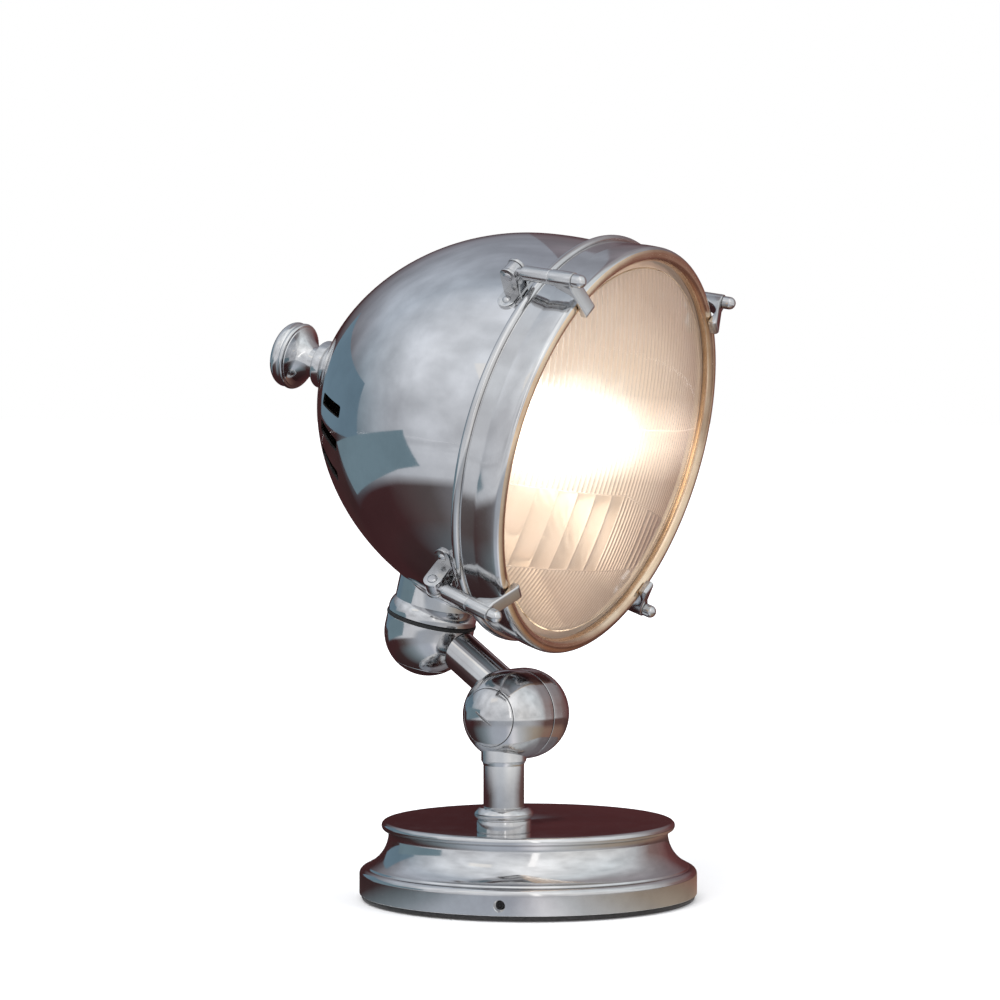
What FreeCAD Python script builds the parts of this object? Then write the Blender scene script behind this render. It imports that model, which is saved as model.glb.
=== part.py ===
import FreeCAD, Part
import math
import os

from FreeCAD import Placement, Rotation, Vector

# Tabletop searchlight lamp, in millimetres.
# Origin: centre of the base, on the table. +Z is up, +X is the tilt axis of the arm, and the light faces -Y.

# Base
base_radius = 118.5          # the brushed band round the foot
plate_thickness = 4.1        # steel plate that closes the base from below
plate_chamfer = 1.4          # dark tapered edge under the band
pad_thickness = 2.2          # felt pad let into the plate
pad_inset = 10.5             # the felt stops this far inside the band
pad_drop = 0.6               # the pad stands this far below the plate
band_height = 13.6
shoulder_radius = 4.6        # quarter round on top of the band
step_height = 1.3            # fine step between the shoulder and the cove
step_inset = 1.3             # the cove starts this far inside the shoulder
cove_run = 14.4              # how far the cove draws in, up to the bead
cove_height = 20.6
cove_hollow = 3.2            # how far the cove dips from a straight slope
bead_radius = 3.2            # half of the rounded edge of the top disc
bead_overhang = 4.8          # the disc stands out over the cove
disc_neck = 4.2              # plain stretch between the cove and the bead
cover_wall = 3.0
weight_gap = 2.5             # between the weight and the cover
weight_well = 25.0           # radius of the well in the weight, round the swivel

# Screws of the base
band_screw_turn = 204.1      # direction of the screw that shows, from +X
band_screw_count = 3
band_screw_radius = 2.5
band_screw_rim = 4.1         # countersink round each hole
band_screw_length = 6.0
hex_socket = 1.3             # half the width across the flats
plate_screw_inset = 34.5     # circle of the plate's screws, in from the band
plate_screw_count = 3
plate_screw_radius = 2.5
plate_screw_head = 4.6
gland_turn = band_screw_turn + 180.0
gland_radius = 5.5
gland_bore = 3.3
gland_flange = 8.0
gland_lip = 1.8

# Post and its swivel
post_x = -64.0
post_y = -22.4
tube_radius = 14.0           # post and arm are cut from one tube
tube_wall = 3.0
swivel_fit = 0.05            # running clearance on each radius
bush_foot_radius = 18.8
bush_foot_height = 9.6
bush_ring_radius = 20.5
bush_ring_height = 7.4
bush_web = 5.5               # floor of the bush, under the post
bush_spigot = 17.0           # radius of the part that goes down through the cover
bush_spigot_drop = 6.5
stem_radius = 6.0
stem_bore = 3.5
stem_plug = 12.0
thrust_washer = 1.6
nut_height = 8.0
nut_flats = 19.0

# Ball knuckles, one above the post and one under the head
ball_radius = 31.3
ball_straight = 9.6          # cylinder between the joint face and each half ball
tilt_seam = 1.0              # thickness of the friction washer
tilt_washer_inset = 0.9
tilt_height = 134.2          # the tilt axis above the table
tube_offset = 15.2           # post and arm stand this far to each side of the joint face
socket_radius = 15.5         # raised rim where the post enters the ball
socket_drop = 2.4
bolt_radius = 5.0
bolt_head_radius = 20.0
bolt_head_seat = 3.0
slot_width = 1.4
slot_depth = 2.4
slot_length = 15.0
tilt_slot_angle = 35.0
yaw_slot_angle = 20.0

# Arm
arm_angle = 35.0             # above the horizontal, in the pose of the photograph
arm_length = 101.0           # from the tilt axis to the yaw axis, along the tube
yaw_drop = 4.3               # the tube meets the yaw axis this far below the joint face

# Neck, from the upper joint to the shell
head_lean = 14.8             # forward lean of the yaw axis
head_turn = 4.2              # the head is turned this far to the left in the photograph
gasket_thickness = 2.6
gasket_proud = 0.6
neck_radius = 28.3
neck_shoulder = 10.5
neck_length = 14.15          # from the joint face to the widest circle of the shell
neck_to_lip = 106.2          # from the yaw axis to the middle of the front lip
neck_spigot = 12.0
spigot_height = 42.0
saddle_radius = 24.0
ring_nut_height = 6.0
ring_nut_flats = 34.0

# Shell of the head: three tangent arcs turned about the axis, with places measured back from the lip.
# Each arc is its radius and the angles of its normal at the start and the end.
shell_place = 34.0
flange_step = 2.05           # the shell starts this far inside its flange
shell_arcs = ((287.0, -0.5, 9.2), (179.5, 9.2, 57.6), (120.0, 57.6, 90.0))
shell_front = 26.5
shell_wall = 1.6
flange_gap = 0.6             # between the flange and the bezel
flange_thickness = 2.0
shell_hole = 7.2

# Vent slots
vent_width = 8.6
vent_start = 150.0
vent_end = 179.0
vent_corner = 2.0
vent_first = 95.4
vent_pitch = 13.0
vent_count = 3

# Bezel
lip_radius = 143.3           # the head's size: the other radii of the front follow it
lip_round = 5.0
bead_place = 30.5            # middle of the rolled bead, back from the lip
bead_round = 3.3
bead_stand = 0.6             # the bead stands out past the lip
waist_dip = 2.0
waist_place = 17.0
bezel_back = 33.4
bezel_wall = 2.3
glass_step = 1.5             # the wall is thicker by this round the lens
glass_place = 2.0            # face of the seat for the lens
seal_width = 5.2

# Lens: a domed glass with a flat rim and upright ribs on its back
lens_gap = 0.3
lens_edge = 5.0
lens_sphere = 392.0
lens_thickness = 4.6
rib_margin = 7.3             # plain glass between the ribs and the lip
lens_turn = 3.6              # the glass sits a little turned in its ring
rib_depth = 1.1
rib_lines = (20.0, -26.0, -81.0)
rib_pitches = (5.25, 5.25, 21.0, 5.25)   # of the bands from the top down
lens_gasket = 2.5

# Reflector
reflector_rim = 8.2          # flat rim outside the dish
reflector_depth = 90.0
reflector_sheet = 1.2
reflector_hole = 21.0
reflector_flange = 1.5

# Lamp and holder, places measured back from the lip
bulb_radius = 30.0
bulb_widest = 75.0
bulb_neck = 13.0
cap_front = 112.0
cap_back = 138.0
cap_radius = 13.2
holder_radius = 19.0
holder_wall = 4.0
holder_back = 165.0
holder_shoulder = 142.0
holder_stem_radius = 5.0
switch_length = 24.0
switch_inset = 10.28         # from the back of the shell
switch_radius = 14.0
switch_bush = 7.0

# Rear collar and knob
collar_foot_radius = 18.6
collar_radius = 17.2
collar_foot_height = 5.72
collar_groove = 1.0
collar_height = 9.4
collar_round = 2.0
knob_gap = 0.4
knob_neck = 11.2
knob_neck_length = 5.6
knob_flare = 21.6
knob_reach = 19.6            # from the collar to the rim
knob_rim_radius = 24.0
knob_rim_width = 12.5
knob_round = 5.0
knob_crown = 1.5
spindle_radius = 4.0

# Clamps: four swing bolts on hinged brackets
clamp_count = 4
clamp_first = 41.5
pin_radius = 2.5
pin_stand = 8.7              # hinge pin out from the lip
pin_place = 46.0             # hinge pin back from the lip
pin_fit = 0.06
pin_head = 3.6
pin_head_height = 1.3
bolt_lean = 8.6              # the bolts open a little towards the lip
eye_radius = 5.6
eye_width = 7.6
ear_gap = 8.0
ear_thickness = 2.2
ear_radius = 6.2
foot_thickness = 2.0
foot_reach = 18.5
rivet_turn = 5.1
rivet_radius = 2.0
rivet_head = 3.0
rivet_rise = 1.7
rod_radius = 3.0
sleeve_radius = 5.0
sleeve_start = 9.5
sleeve_end = 32.5
claw_barrel = 5.4
claw_face = 49.5
claw_width = 11.0
toe_gap = 0.35               # between the toe and the lip
toe_overhang = 0.7           # the toe reaches in past the lip's inner edge
toe_thickness = 6.6
clamp_nut_radius = 4.5
clamp_nut_length = 9.0

# Derived sizes
ORIGIN = Vector(0, 0, 0)
X = Vector(1, 0, 0)
Y = Vector(0, 1, 0)
Z = Vector(0, 0, 1)
shoulder_z = plate_thickness + band_height
cove_foot = base_radius - shoulder_radius - step_inset
cove_top = cove_foot - cove_run
disc_radius = cove_top + bead_overhang
pad_radius = base_radius - pad_inset
cove_foot_z = shoulder_z + shoulder_radius + step_height
cove_top_z = cove_foot_z + cove_height
disc_top = cove_top_z + disc_neck + 2 * bead_radius
web_top = disc_top + bush_web
bush_top = disc_top + bush_foot_height + bush_ring_height
half_gasket = gasket_thickness / 2
waist_radius = lip_radius - waist_dip
bead_outer = lip_radius + bead_stand
bezel_bore = waist_radius - bezel_wall
glass_bore = bezel_bore - glass_step
lip_inner = lip_radius - 2 * lip_round
lens_radius = glass_bore - lens_gap
lens_rib_radius = lip_inner - rib_margin
seal_inner = lens_radius - seal_width
reflector_edge = lens_radius - reflector_rim
flange_radius = bezel_bore - flange_gap
shell_radius = flange_radius - flange_step
neck_to_axis = shell_radius + neck_length
pin_height = lip_radius + pin_stand
toe_reach = lip_inner - toe_overhang
glass_back = glass_place + lens_edge
gasket_back = glass_back + lens_gasket
seal_front = gasket_back + reflector_flange


# Small helpers

def outline(path):
    """A closed face in the XZ plane. An entry is a point, or two points that an arc passes through."""
    edges = []
    first = Vector(path[0][0], 0, path[0][1])
    here = first
    for step in path[1:] + [path[0]]:
        if isinstance(step[0], tuple):
            middle = Vector(step[0][0], 0, step[0][1])
            there = Vector(step[1][0], 0, step[1][1])
            edges.append(Part.Arc(here, middle, there).toShape())
        else:
            there = Vector(step[0], 0, step[1])
            if there.isEqual(here, 1e-6):
                continue
            edges.append(Part.LineSegment(here, there).toShape())
        here = there
    return Part.Face(Part.Wire(edges))


def turned(path):
    """A solid of revolution about Z: each point is a radius and a height."""
    return outline(path).revolve(ORIGIN, Z, 360)


def rod(radius, start, end, at=ORIGIN, along=Z):
    """A cylinder along a direction, from one distance to another."""
    return Part.makeCylinder(radius, end - start, at + along * start, along)


def ring(outer, inner, start, end, at=ORIGIN, along=Z):
    return rod(outer, start, end, at, along).cut(rod(inner, start, end, at, along))


def hexagon(flats, start, end, at=ORIGIN):
    """A hexagonal bar along Z."""
    corner = flats / math.sqrt(3)
    points = []
    for k in range(7):
        turn = math.radians(60 * k)
        points.append(at + Vector(corner * math.cos(turn), corner * math.sin(turn), start))
    return Part.Face(Part.makePolygon(points)).extrude(Z * (end - start))


def arc_middle(p, q, bulge):
    """The middle point of an arc from p to q that stands off its chord by bulge, to the right of p to q."""
    along_x = q[0] - p[0]
    along_z = q[1] - p[1]
    length = math.hypot(along_x, along_z)
    middle_x = (p[0] + q[0]) / 2 + bulge * along_z / length
    middle_z = (p[1] + q[1]) / 2 - bulge * along_x / length
    return (middle_x, middle_z)


def corner(x, z, radius, turn):
    """The middle point of a quarter round about a centre at x, z."""
    angle = math.radians(turn)
    return (x + radius * math.cos(angle), z + radius * math.sin(angle))


def dome_middle(radius, top, rise):
    """The middle point of a spherical cap that ends on the axis at a top, with a rim of some radius."""
    sphere = (radius ** 2 + rise ** 2) / (2 * rise)
    half = math.asin(radius / abs(sphere)) / 2
    return (abs(sphere) * math.sin(half), top - sphere * (1 - math.cos(half)))


def placed(shape, placement):
    copy = shape.copy()
    copy.Placement = placement.multiply(copy.Placement)
    return copy


def around(shape, count, first, axis_at=ORIGIN):
    """Copies of a shape turned about Z, evenly spaced."""
    copies = []
    for k in range(count):
        copy = shape.copy()
        copy.rotate(axis_at, Z, first + 360.0 * k / count)
        copies.append(copy)
    return copies


# Frames of the moving bodies, in the pose of the photograph

post_at = Vector(post_x, post_y, 0)
tilt_at = Vector(post_x + tube_offset, post_y, tilt_height)
arm_frame = Placement(tilt_at, Rotation(X, arm_angle))
meeting = arm_frame.multVec(Vector(tube_offset, arm_length, 0))
yaw_axis = Rotation(X, head_lean).multVec(Z)
yaw_at = meeting + yaw_axis * yaw_drop
yaw_frame = Placement(yaw_at, Rotation(X, head_lean))
turned_frame = yaw_frame.multiply(Placement(ORIGIN, Rotation(Z, head_turn)))
# In the head's own frame Z runs back from the lip, Y is the top of the head and X is its right side.
head_frame = turned_frame.multiply(
    Placement(Vector(0, -neck_to_lip, neck_to_axis), Rotation(Vector(-1, 0, 0), Z, Y, "ZXY")))


# Base

def base_outline(shrink):
    """The outer profile of the cover, from the band to the top, drawn in by a wall."""
    foot = (cove_foot - shrink, cove_foot_z - shrink)
    top = (cove_top - shrink, cove_top_z)
    return foot, top


def base_cover():
    band_top = (base_radius, shoulder_z)
    shoulder_in = (base_radius - shoulder_radius, shoulder_z + shoulder_radius)
    foot, top = base_outline(0)
    bead_foot = (disc_radius - bead_radius, disc_top - 2 * bead_radius)
    bead_top = (disc_radius - bead_radius, disc_top)
    outer = turned([
        (0, plate_thickness), (base_radius, plate_thickness), band_top,
        (corner(base_radius - shoulder_radius, shoulder_z, shoulder_radius, 45), shoulder_in),
        (cove_foot + step_height / 2, cove_foot_z - step_height), foot,
        (arc_middle(foot, top, -cove_hollow), top), (cove_top, cove_top_z + disc_neck), bead_foot,
        ((disc_radius, disc_top - bead_radius), bead_top), (0, disc_top)])
    foot, top = base_outline(cover_wall)
    inner = turned([
        (0, plate_thickness), (base_radius - cover_wall, plate_thickness),
        (base_radius - cover_wall, shoulder_z - cover_wall / 2), foot,
        (arc_middle(foot, top, -cove_hollow), top), (top[0], disc_top - cover_wall),
        (0, disc_top - cover_wall)])
    cover = outer.cut(inner)
    cover = cover.cut(rod(bush_spigot, 0, disc_top, post_at))
    for tool in around(band_hole(), band_screw_count, band_screw_turn):
        cover = cover.cut(tool)
    return cover.cut(gland_hole())


def band_hole():
    """A screw hole in the band with its countersink, pointing along X."""
    middle = Vector(0, 0, plate_thickness + band_height / 2)
    sink = band_screw_rim - band_screw_radius
    hole = rod(band_screw_radius, base_radius - 12, base_radius + 1, middle, X)
    cone = Part.makeCone(band_screw_radius, band_screw_rim + sink, 2 * sink,
                         middle + X * (base_radius - sink), X)
    return hole.fuse(cone)


def cover_screws():
    middle = Vector(0, 0, plate_thickness + band_height / 2)
    end = base_radius - band_screw_length
    screw = rod(band_screw_radius, end, end + cover_wall, middle, X)
    socket = hexagon(2 * hex_socket, 0, cover_wall)
    socket.rotate(ORIGIN, Y, 90)
    socket.translate(middle + X * (end + cover_wall / 2))
    screw = screw.cut(socket)
    return Part.makeCompound(around(screw, band_screw_count, band_screw_turn))


def gland_hole():
    middle = Vector(0, 0, plate_thickness + band_height / 2)
    hole = rod(gland_radius, base_radius - 12, base_radius + 1, middle, X)
    hole.rotate(ORIGIN, Z, gland_turn)
    return hole


def cord_gland():
    """A turned bush in the band at the back, where the lead enters."""
    inside = cover_wall + 1.0
    bush = turned([
        (gland_bore, -inside), (gland_radius, -inside), (gland_radius, 0.4), (gland_flange, 0.4),
        (gland_flange, gland_lip), (gland_flange - 1.2, gland_lip + 1.2), (gland_bore, gland_lip + 1.2)])
    bush.rotate(ORIGIN, Y, 90)
    bush.translate(Vector(base_radius, 0, plate_thickness + band_height / 2))
    bush.rotate(ORIGIN, Z, gland_turn)
    return bush


def base_weight():
    lower = base_radius - cover_wall - 14.0
    upper = cove_top - cover_wall - 2 * weight_gap
    top = disc_top - cover_wall - weight_gap
    weight = turned([(0, plate_thickness), (lower, plate_thickness), (lower, shoulder_z - cover_wall),
                     (upper, cove_foot_z), (upper, top), (0, top)])
    weight = weight.cut(rod(weight_well, 0, disc_top, post_at))
    for hole in around(plate_hole(), plate_screw_count, gland_turn):
        weight = weight.cut(hole)
    return weight


def plate_hole():
    at = Vector(base_radius - plate_screw_inset, 0, 0)
    return rod(plate_screw_radius, 0, plate_thickness + 12, at)


def plate_screws():
    at = Vector(base_radius - plate_screw_inset, 0, 0)
    start = pad_thickness
    screw = rod(plate_screw_radius, start, plate_thickness + 12, at)
    head = Part.makeCone(plate_screw_head, plate_screw_radius, plate_thickness - start, at + Z * start, Z)
    return Part.makeCompound(around(screw.fuse(head), plate_screw_count, gland_turn))


def base_plate():
    edge = base_radius - 0.5
    plate = turned([(0, pad_drop), (edge - plate_chamfer, pad_drop), (edge, plate_thickness),
                    (0, plate_thickness)])
    plate = plate.cut(rod(pad_radius, 0, pad_thickness))
    plate = plate.cut(rod(weight_well - 1, 0, plate_thickness, post_at))
    return plate.cut(plate_screws())


def base_pad():
    return rod(pad_radius, 0, pad_thickness)


def post_bush():
    """The ring at the foot of the post. It is fixed to the base, and the post turns in it."""
    foot_top = disc_top + bush_foot_height
    bulge = bush_ring_radius - bush_foot_radius
    bore = tube_radius + swivel_fit
    lower = disc_top - bush_spigot_drop
    bush = turned([
        (stem_radius + swivel_fit, lower), (bush_spigot, lower), (bush_spigot, disc_top),
        (bush_foot_radius, disc_top), (bush_foot_radius, foot_top - 1.4),
        (bush_foot_radius - 0.8, foot_top - 0.7), (bush_foot_radius, foot_top),
        ((bush_foot_radius + bulge, foot_top + bush_ring_height * 0.42),
         (tube_radius + 3.0, bush_top)),
        (bore, bush_top), (bore, web_top), (stem_radius + swivel_fit, web_top)])
    return placed(bush, Placement(post_at, Rotation()))


# Post

def post_stem():
    """Plug in the foot of the post, with the hollow stem that runs down through the bush."""
    plug = rod(tube_radius - tube_wall, web_top, web_top + stem_plug, post_at)
    bottom = disc_top - bush_spigot_drop - thrust_washer - nut_height - 2
    stem = rod(stem_radius, bottom, web_top + 1, post_at)
    return plug.fuse(stem).cut(rod(stem_bore, 0, tilt_height, post_at))


def post_tube():
    top = tilt_height - ball_radius * 0.64
    return ring(tube_radius, tube_radius - tube_wall, web_top, top, post_at)


def swivel_washer():
    top = disc_top - bush_spigot_drop
    return ring(bush_spigot - 1, stem_radius + 0.2, top - thrust_washer, top, post_at)


def swivel_nut():
    top = disc_top - bush_spigot_drop - thrust_washer
    return hexagon(nut_flats, top - nut_height, top, post_at).cut(rod(stem_radius, 0, top, post_at))


# Ball knuckles, drawn along Z with the joint face at zero and the half ball above it

def half_ball(face):
    return turned([(0, face), (ball_radius, face), (ball_radius, ball_straight),
                   (corner(0, ball_straight, ball_radius, 45), (0, ball_straight + ball_radius))])


def head_level():
    """Where the rim of the bolt's domed head lies on the ball."""
    return ball_straight + math.sqrt(ball_radius ** 2 - bolt_head_radius ** 2)


def head_recess(clearance):
    seat = head_level() - bolt_head_seat
    return rod(bolt_head_radius + clearance, seat, ball_straight + ball_radius + 1)


def domed_head():
    seat = head_level() - bolt_head_seat
    stub = rod(bolt_head_radius, seat, ball_straight + ball_radius + 1)
    return stub.common(half_ball(0))


def slotted(head, turn):
    """A screwdriver slot across the middle of a domed head."""
    top = ball_straight + ball_radius
    slot = Part.makeBox(slot_length, slot_width, slot_depth + 1,
                        Vector(-slot_length / 2, -slot_width / 2, top - slot_depth))
    slot.rotate(ORIGIN, Z, turn)
    return head.cut(slot)


to_post_side = Placement(tilt_at, Rotation(Y, -90))
to_arm_side = Placement(tilt_at, Rotation(Y, 90))
to_lower_side = yaw_frame.multiply(Placement(ORIGIN, Rotation(X, 180)))


def knuckle_post_half():
    half = placed(half_ball(tilt_seam / 2), to_post_side)
    hollow = head_recess(0).fuse(rod(bolt_radius, 0, ball_straight + ball_radius))
    bottom = tilt_height - ball_radius - socket_drop
    socket = rod(socket_radius, bottom, tilt_height - ball_radius * 0.5, post_at)
    limit = Part.makeBox(2 * ball_radius, 4 * ball_radius, 4 * ball_radius,
                         tilt_at - Vector(tilt_seam / 2 + 2 * ball_radius, 2 * ball_radius, 2 * ball_radius))
    half = half.fuse(socket.common(limit)).removeSplitter()
    half = half.cut(placed(hollow, to_post_side))
    return half.cut(rod(tube_radius, 0, tilt_height - ball_radius * 0.64, post_at))


def knuckle_arm_half():
    half = half_ball(tilt_seam / 2)
    half = half.cut(head_recess(2 * swivel_fit))
    half = half.cut(rod(bolt_radius + swivel_fit, 0, ball_straight + ball_radius))
    return placed(half, to_arm_side)


def tilt_bolt():
    head = slotted(domed_head(), 90 + tilt_slot_angle)
    shank = rod(bolt_radius, -head_level(), head_level() - bolt_head_seat)
    return placed(head.fuse(shank), to_post_side)


def tilt_cap():
    """Plain domed cap nut at the far end of the tilt bolt."""
    return placed(domed_head().cut(rod(bolt_radius, 0, head_level())), to_arm_side)


def tilt_washer():
    half = tilt_seam / 2
    washer = ring(ball_radius - tilt_washer_inset, bolt_radius, -half, half)
    return placed(washer, to_post_side)


# Arm

def arm_tube():
    """The arm, coped to both balls."""
    tube = ring(tube_radius, tube_radius - tube_wall, ball_radius * 0.6, arm_length - tube_radius,
                Vector(tube_offset, 0, 0), Y)
    tube = placed(tube, arm_frame)
    tube = tube.cut(placed(half_ball(0), to_arm_side))
    lower = placed(half_ball(0), to_lower_side)
    above = Part.makeBox(6 * ball_radius, 6 * ball_radius, 3 * ball_radius,
                         Vector(-3 * ball_radius, -3 * ball_radius, -half_gasket))
    tube = tube.cut(lower).cut(placed(above, yaw_frame))
    return max(tube.Solids, key=lambda solid: solid.Volume)


def neck_ball():
    half = half_ball(half_gasket)
    half = half.cut(head_recess(0)).cut(rod(bolt_radius, 0, ball_straight + ball_radius))
    return placed(half, to_lower_side)


def yaw_gasket():
    edge = ball_radius + gasket_proud
    gasket = turned([(bolt_radius, -half_gasket), (edge - 0.5, -half_gasket),
                     ((edge, 0), (edge - 0.5, half_gasket)), (bolt_radius, half_gasket)])
    return placed(gasket, yaw_frame)


def yaw_bolt():
    head = slotted(domed_head(), yaw_slot_angle)
    shank = rod(bolt_radius, -(spigot_height + nut_height + 2), head_level() - bolt_head_seat)
    return placed(head.fuse(shank), to_lower_side)


def yaw_nut():
    nut = hexagon(nut_flats, spigot_height, spigot_height + nut_height)
    return placed(nut.cut(rod(bolt_radius, 0, spigot_height + nut_height)), yaw_frame)


# Shell of the head, drawn about Z with the lip at zero and the back of the shell above it

def shell_centres():
    """Centre, radius and last angle of each arc of the shell."""
    arcs = []
    place, radius = shell_place, shell_radius
    for size, first, last in shell_arcs:
        centre_place = place - size * math.sin(math.radians(first))
        centre_radius = radius - size * math.cos(math.radians(first))
        arcs.append((centre_place, centre_radius, size, last))
        place = centre_place + size * math.sin(math.radians(last))
        radius = centre_radius + size * math.cos(math.radians(last))
    return arcs


def shell_point(turn, offset):
    """Radius and place on the shell where its normal has an angle."""
    for centre_place, centre_radius, size, last in shell_centres():
        if turn <= last:
            break
    angle = math.radians(turn)
    return (centre_radius + (size + offset) * math.cos(angle), centre_place + (size + offset) * math.sin(angle))


def turn_at_place(place, offset):
    for centre_place, centre_radius, size, last in shell_centres():
        turn = math.degrees(math.asin(min((place - centre_place) / (size + offset), 1)))
        if turn <= last:
            return turn


def turn_at_radius(radius, offset):
    for centre_place, centre_radius, size, last in shell_centres():
        turn = math.degrees(math.acos((radius - centre_radius) / (size + offset)))
        if turn <= last:
            return turn


def arc_radius(place, offset):
    """Radius of the shell's surface at a place along the axis, moved out by an offset."""
    return shell_point(turn_at_place(place, offset), offset)[0]


def shell_solid(offset, front, hole):
    """The shell's surface as a solid, moved out by an offset, from a front place to a hole at the back."""
    start = turn_at_place(front, offset)
    end = turn_at_radius(hole, offset)
    path = [(0, front), shell_point(start, offset)]
    for centre_place, centre_radius, size, last in shell_centres():
        if last <= start:
            continue
        stop = min(last, end)
        path.append((shell_point((start + stop) / 2, offset), shell_point(stop, offset)))
        start = stop
        if stop == end:
            break
    path.append((0, path[-1][1][1]))
    return turned(path)


def shell_layer(inner, outer, front, hole):
    return shell_solid(outer, front, hole).cut(shell_solid(inner, front - 1, hole))


# What stands on the back of the shell takes its place from there
shell_end = shell_point(turn_at_radius(shell_hole, 0), 0)[1]
switch_back = shell_end - switch_inset
switch_front = switch_back - switch_length
collar_step = shell_end + collar_foot_height
collar_back = collar_step + collar_height
knob_rim_front = collar_back + knob_reach
knob_back = knob_rim_front + knob_rim_width


def vent_tool():
    """Cuts one vent slot: a straight sided opening that runs fore and aft."""
    length = vent_end - vent_start
    reach = shell_radius
    slot = Part.makeBox(vent_width, reach, length, Vector(-vent_width / 2, 0, vent_start))
    edges = [edge for edge in slot.Edges if abs(edge.tangentAt(edge.FirstParameter).y) > 0.9]
    return slot.makeFillet(vent_corner, edges)


def head_shell():
    front = shell_front
    shell = shell_layer(-shell_wall, 0, front - flange_thickness, shell_hole)
    inside = arc_radius(front - flange_thickness, -shell_wall)
    shell = shell.fuse(ring(flange_radius, inside, front - flange_thickness, front))
    shell = shell.cut(rod(shell_hole, shell_place, collar_back))
    for side in (1, -1):
        for k in range(vent_count):
            tool = vent_tool()
            tool.rotate(ORIGIN, Z, -side * (vent_first + vent_pitch * k))
            shell = shell.cut(tool)
    spigot = rod(neck_spigot, 0, neck_to_axis, Vector(0, -neck_to_axis, neck_to_lip), Y)
    shell = shell.cut(spigot)
    for hole in rivet_holes():
        shell = shell.cut(hole)
    return placed(shell, head_frame)


def neck_blank():
    """The upper half of the joint under the head, drawn in the frame of the yaw axis."""
    rise = half_gasket + neck_shoulder
    face = (ball_radius, half_gasket)
    end = (neck_radius, rise)
    return turned([(0, half_gasket), face, (ball_radius, half_gasket + 1.5),
                   (arc_middle((ball_radius, half_gasket + 1.5), end, 0.9), end),
                   (neck_radius, neck_to_axis / 2), (0, neck_to_axis / 2)])


def head_neck():
    neck = placed(neck_blank(), turned_frame)
    neck = neck.cut(placed(shell_solid(0, 0, shell_hole), head_frame))
    spigot = placed(rod(neck_spigot, half_gasket, spigot_height), turned_frame)
    bore = placed(rod(bolt_radius + swivel_fit, 0, neck_to_axis), turned_frame)
    return neck.fuse(spigot).removeSplitter().cut(bore)


def neck_saddle():
    """Washer inside the shell, shaped to it below and flat above."""
    top = spigot_height - ring_nut_height
    saddle = ring(saddle_radius, neck_spigot, half_gasket, top)
    return placed(saddle, turned_frame).common(placed(shell_solid(-shell_wall, 0, shell_hole), head_frame))


def neck_ring_nut():
    nut = hexagon(ring_nut_flats, spigot_height - ring_nut_height, spigot_height)
    return placed(nut.cut(rod(neck_spigot, 0, spigot_height)), turned_frame)


# Front of the head

def bezel():
    """Ring that holds the lens: a rolled bead, a slight waist and a full round lip."""
    lip_middle = lip_radius - lip_round
    bead_middle = bead_outer - bead_round
    bead_foot = bead_place - bead_round * 0.95
    waist = (waist_radius, waist_place)
    ring_body = turned([
        (lip_inner, glass_place), (lip_inner, 0), ((lip_middle, -lip_round), (lip_radius, 0)),
        (arc_middle((lip_radius, 0), waist, 0.35), waist), (waist_radius, bead_foot - 0.7),
        (waist_radius - 0.7, bead_foot - 0.35), (waist_radius, bead_foot),
        ((bead_outer, bead_place), (bead_middle, bead_place + bead_round)),
        (bezel_bore, bezel_back), (bezel_bore, shell_front - flange_thickness),
        (glass_bore, shell_front - flange_thickness), (glass_bore, glass_place)])
    return placed(ring_body, head_frame)


def lens_glass():
    centre = glass_place + math.sqrt(lens_sphere ** 2 - lip_inner ** 2)
    front = centre - lens_sphere
    inner = lens_sphere - lens_thickness
    inner_rim = math.sqrt(inner ** 2 - (centre - glass_back) ** 2)
    glass = turned([
        (0, front), (dome_middle(lip_inner, front, front - glass_place), (lip_inner, glass_place)),
        (lens_radius, glass_place), (lens_radius, glass_back), (inner_rim, glass_back),
        (dome_middle(inner_rim, centre - inner, centre - inner - glass_back), (0, centre - inner))])
    lines = (lens_rib_radius,) + rib_lines + (-lens_rib_radius,)
    for top, bottom, pitch in zip(lines, lines[1:], rib_pitches):
        glass = glass.cut(rib_tool(centre, inner, top, bottom, pitch))
    glass.rotate(ORIGIN, Z, lens_turn)
    return placed(glass, head_frame)


def rib_tool(centre, inner, top, bottom, pitch):
    """Cuts one band of ribs: a row of round backed ribs, turned about the centre of the dome."""
    count = int(round(2 * lens_rib_radius / pitch))
    width = 2 * lens_rib_radius / count
    middle = Vector(0, 0, centre)
    edges = []
    points = []
    for k in range(count + 1):
        side = k * width - lens_rib_radius
        points.append(Vector(side, 0, centre - math.sqrt((inner + rib_depth) ** 2 - side ** 2)))
    far = Vector(lens_rib_radius, 0, centre - inner / 2)
    near = Vector(-lens_rib_radius, 0, centre - inner / 2)
    for left, right in zip(points, points[1:]):
        edges.append(Part.Arc(left, (left + right) / 2 + Z * rib_depth, right).toShape())
    edges.append(Part.LineSegment(points[-1], far).toShape())
    edges.append(Part.LineSegment(far, near).toShape())
    edges.append(Part.LineSegment(near, points[0]).toShape())
    start = math.degrees(math.asin(bottom / inner))
    sweep = math.degrees(math.asin(top / inner)) - start
    face = Part.Face(Part.Wire(edges))
    face.rotate(middle, X, start)
    return face.revolve(middle, X, sweep).common(rod(lens_rib_radius, -lens_rib_radius, centre))


def lens_seal():
    return placed(ring(lens_radius, seal_inner, glass_back, gasket_back), head_frame)


def bezel_seal():
    """Long rubber ring between the reflector and the flange of the shell."""
    return placed(ring(lens_radius, seal_inner, seal_front, shell_front - flange_thickness), head_frame)


def reflector_radius(depth):
    """Radius of the parabola at a depth behind its front edge."""
    return reflector_edge * math.sqrt(1 - depth / reflector_depth)


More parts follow.
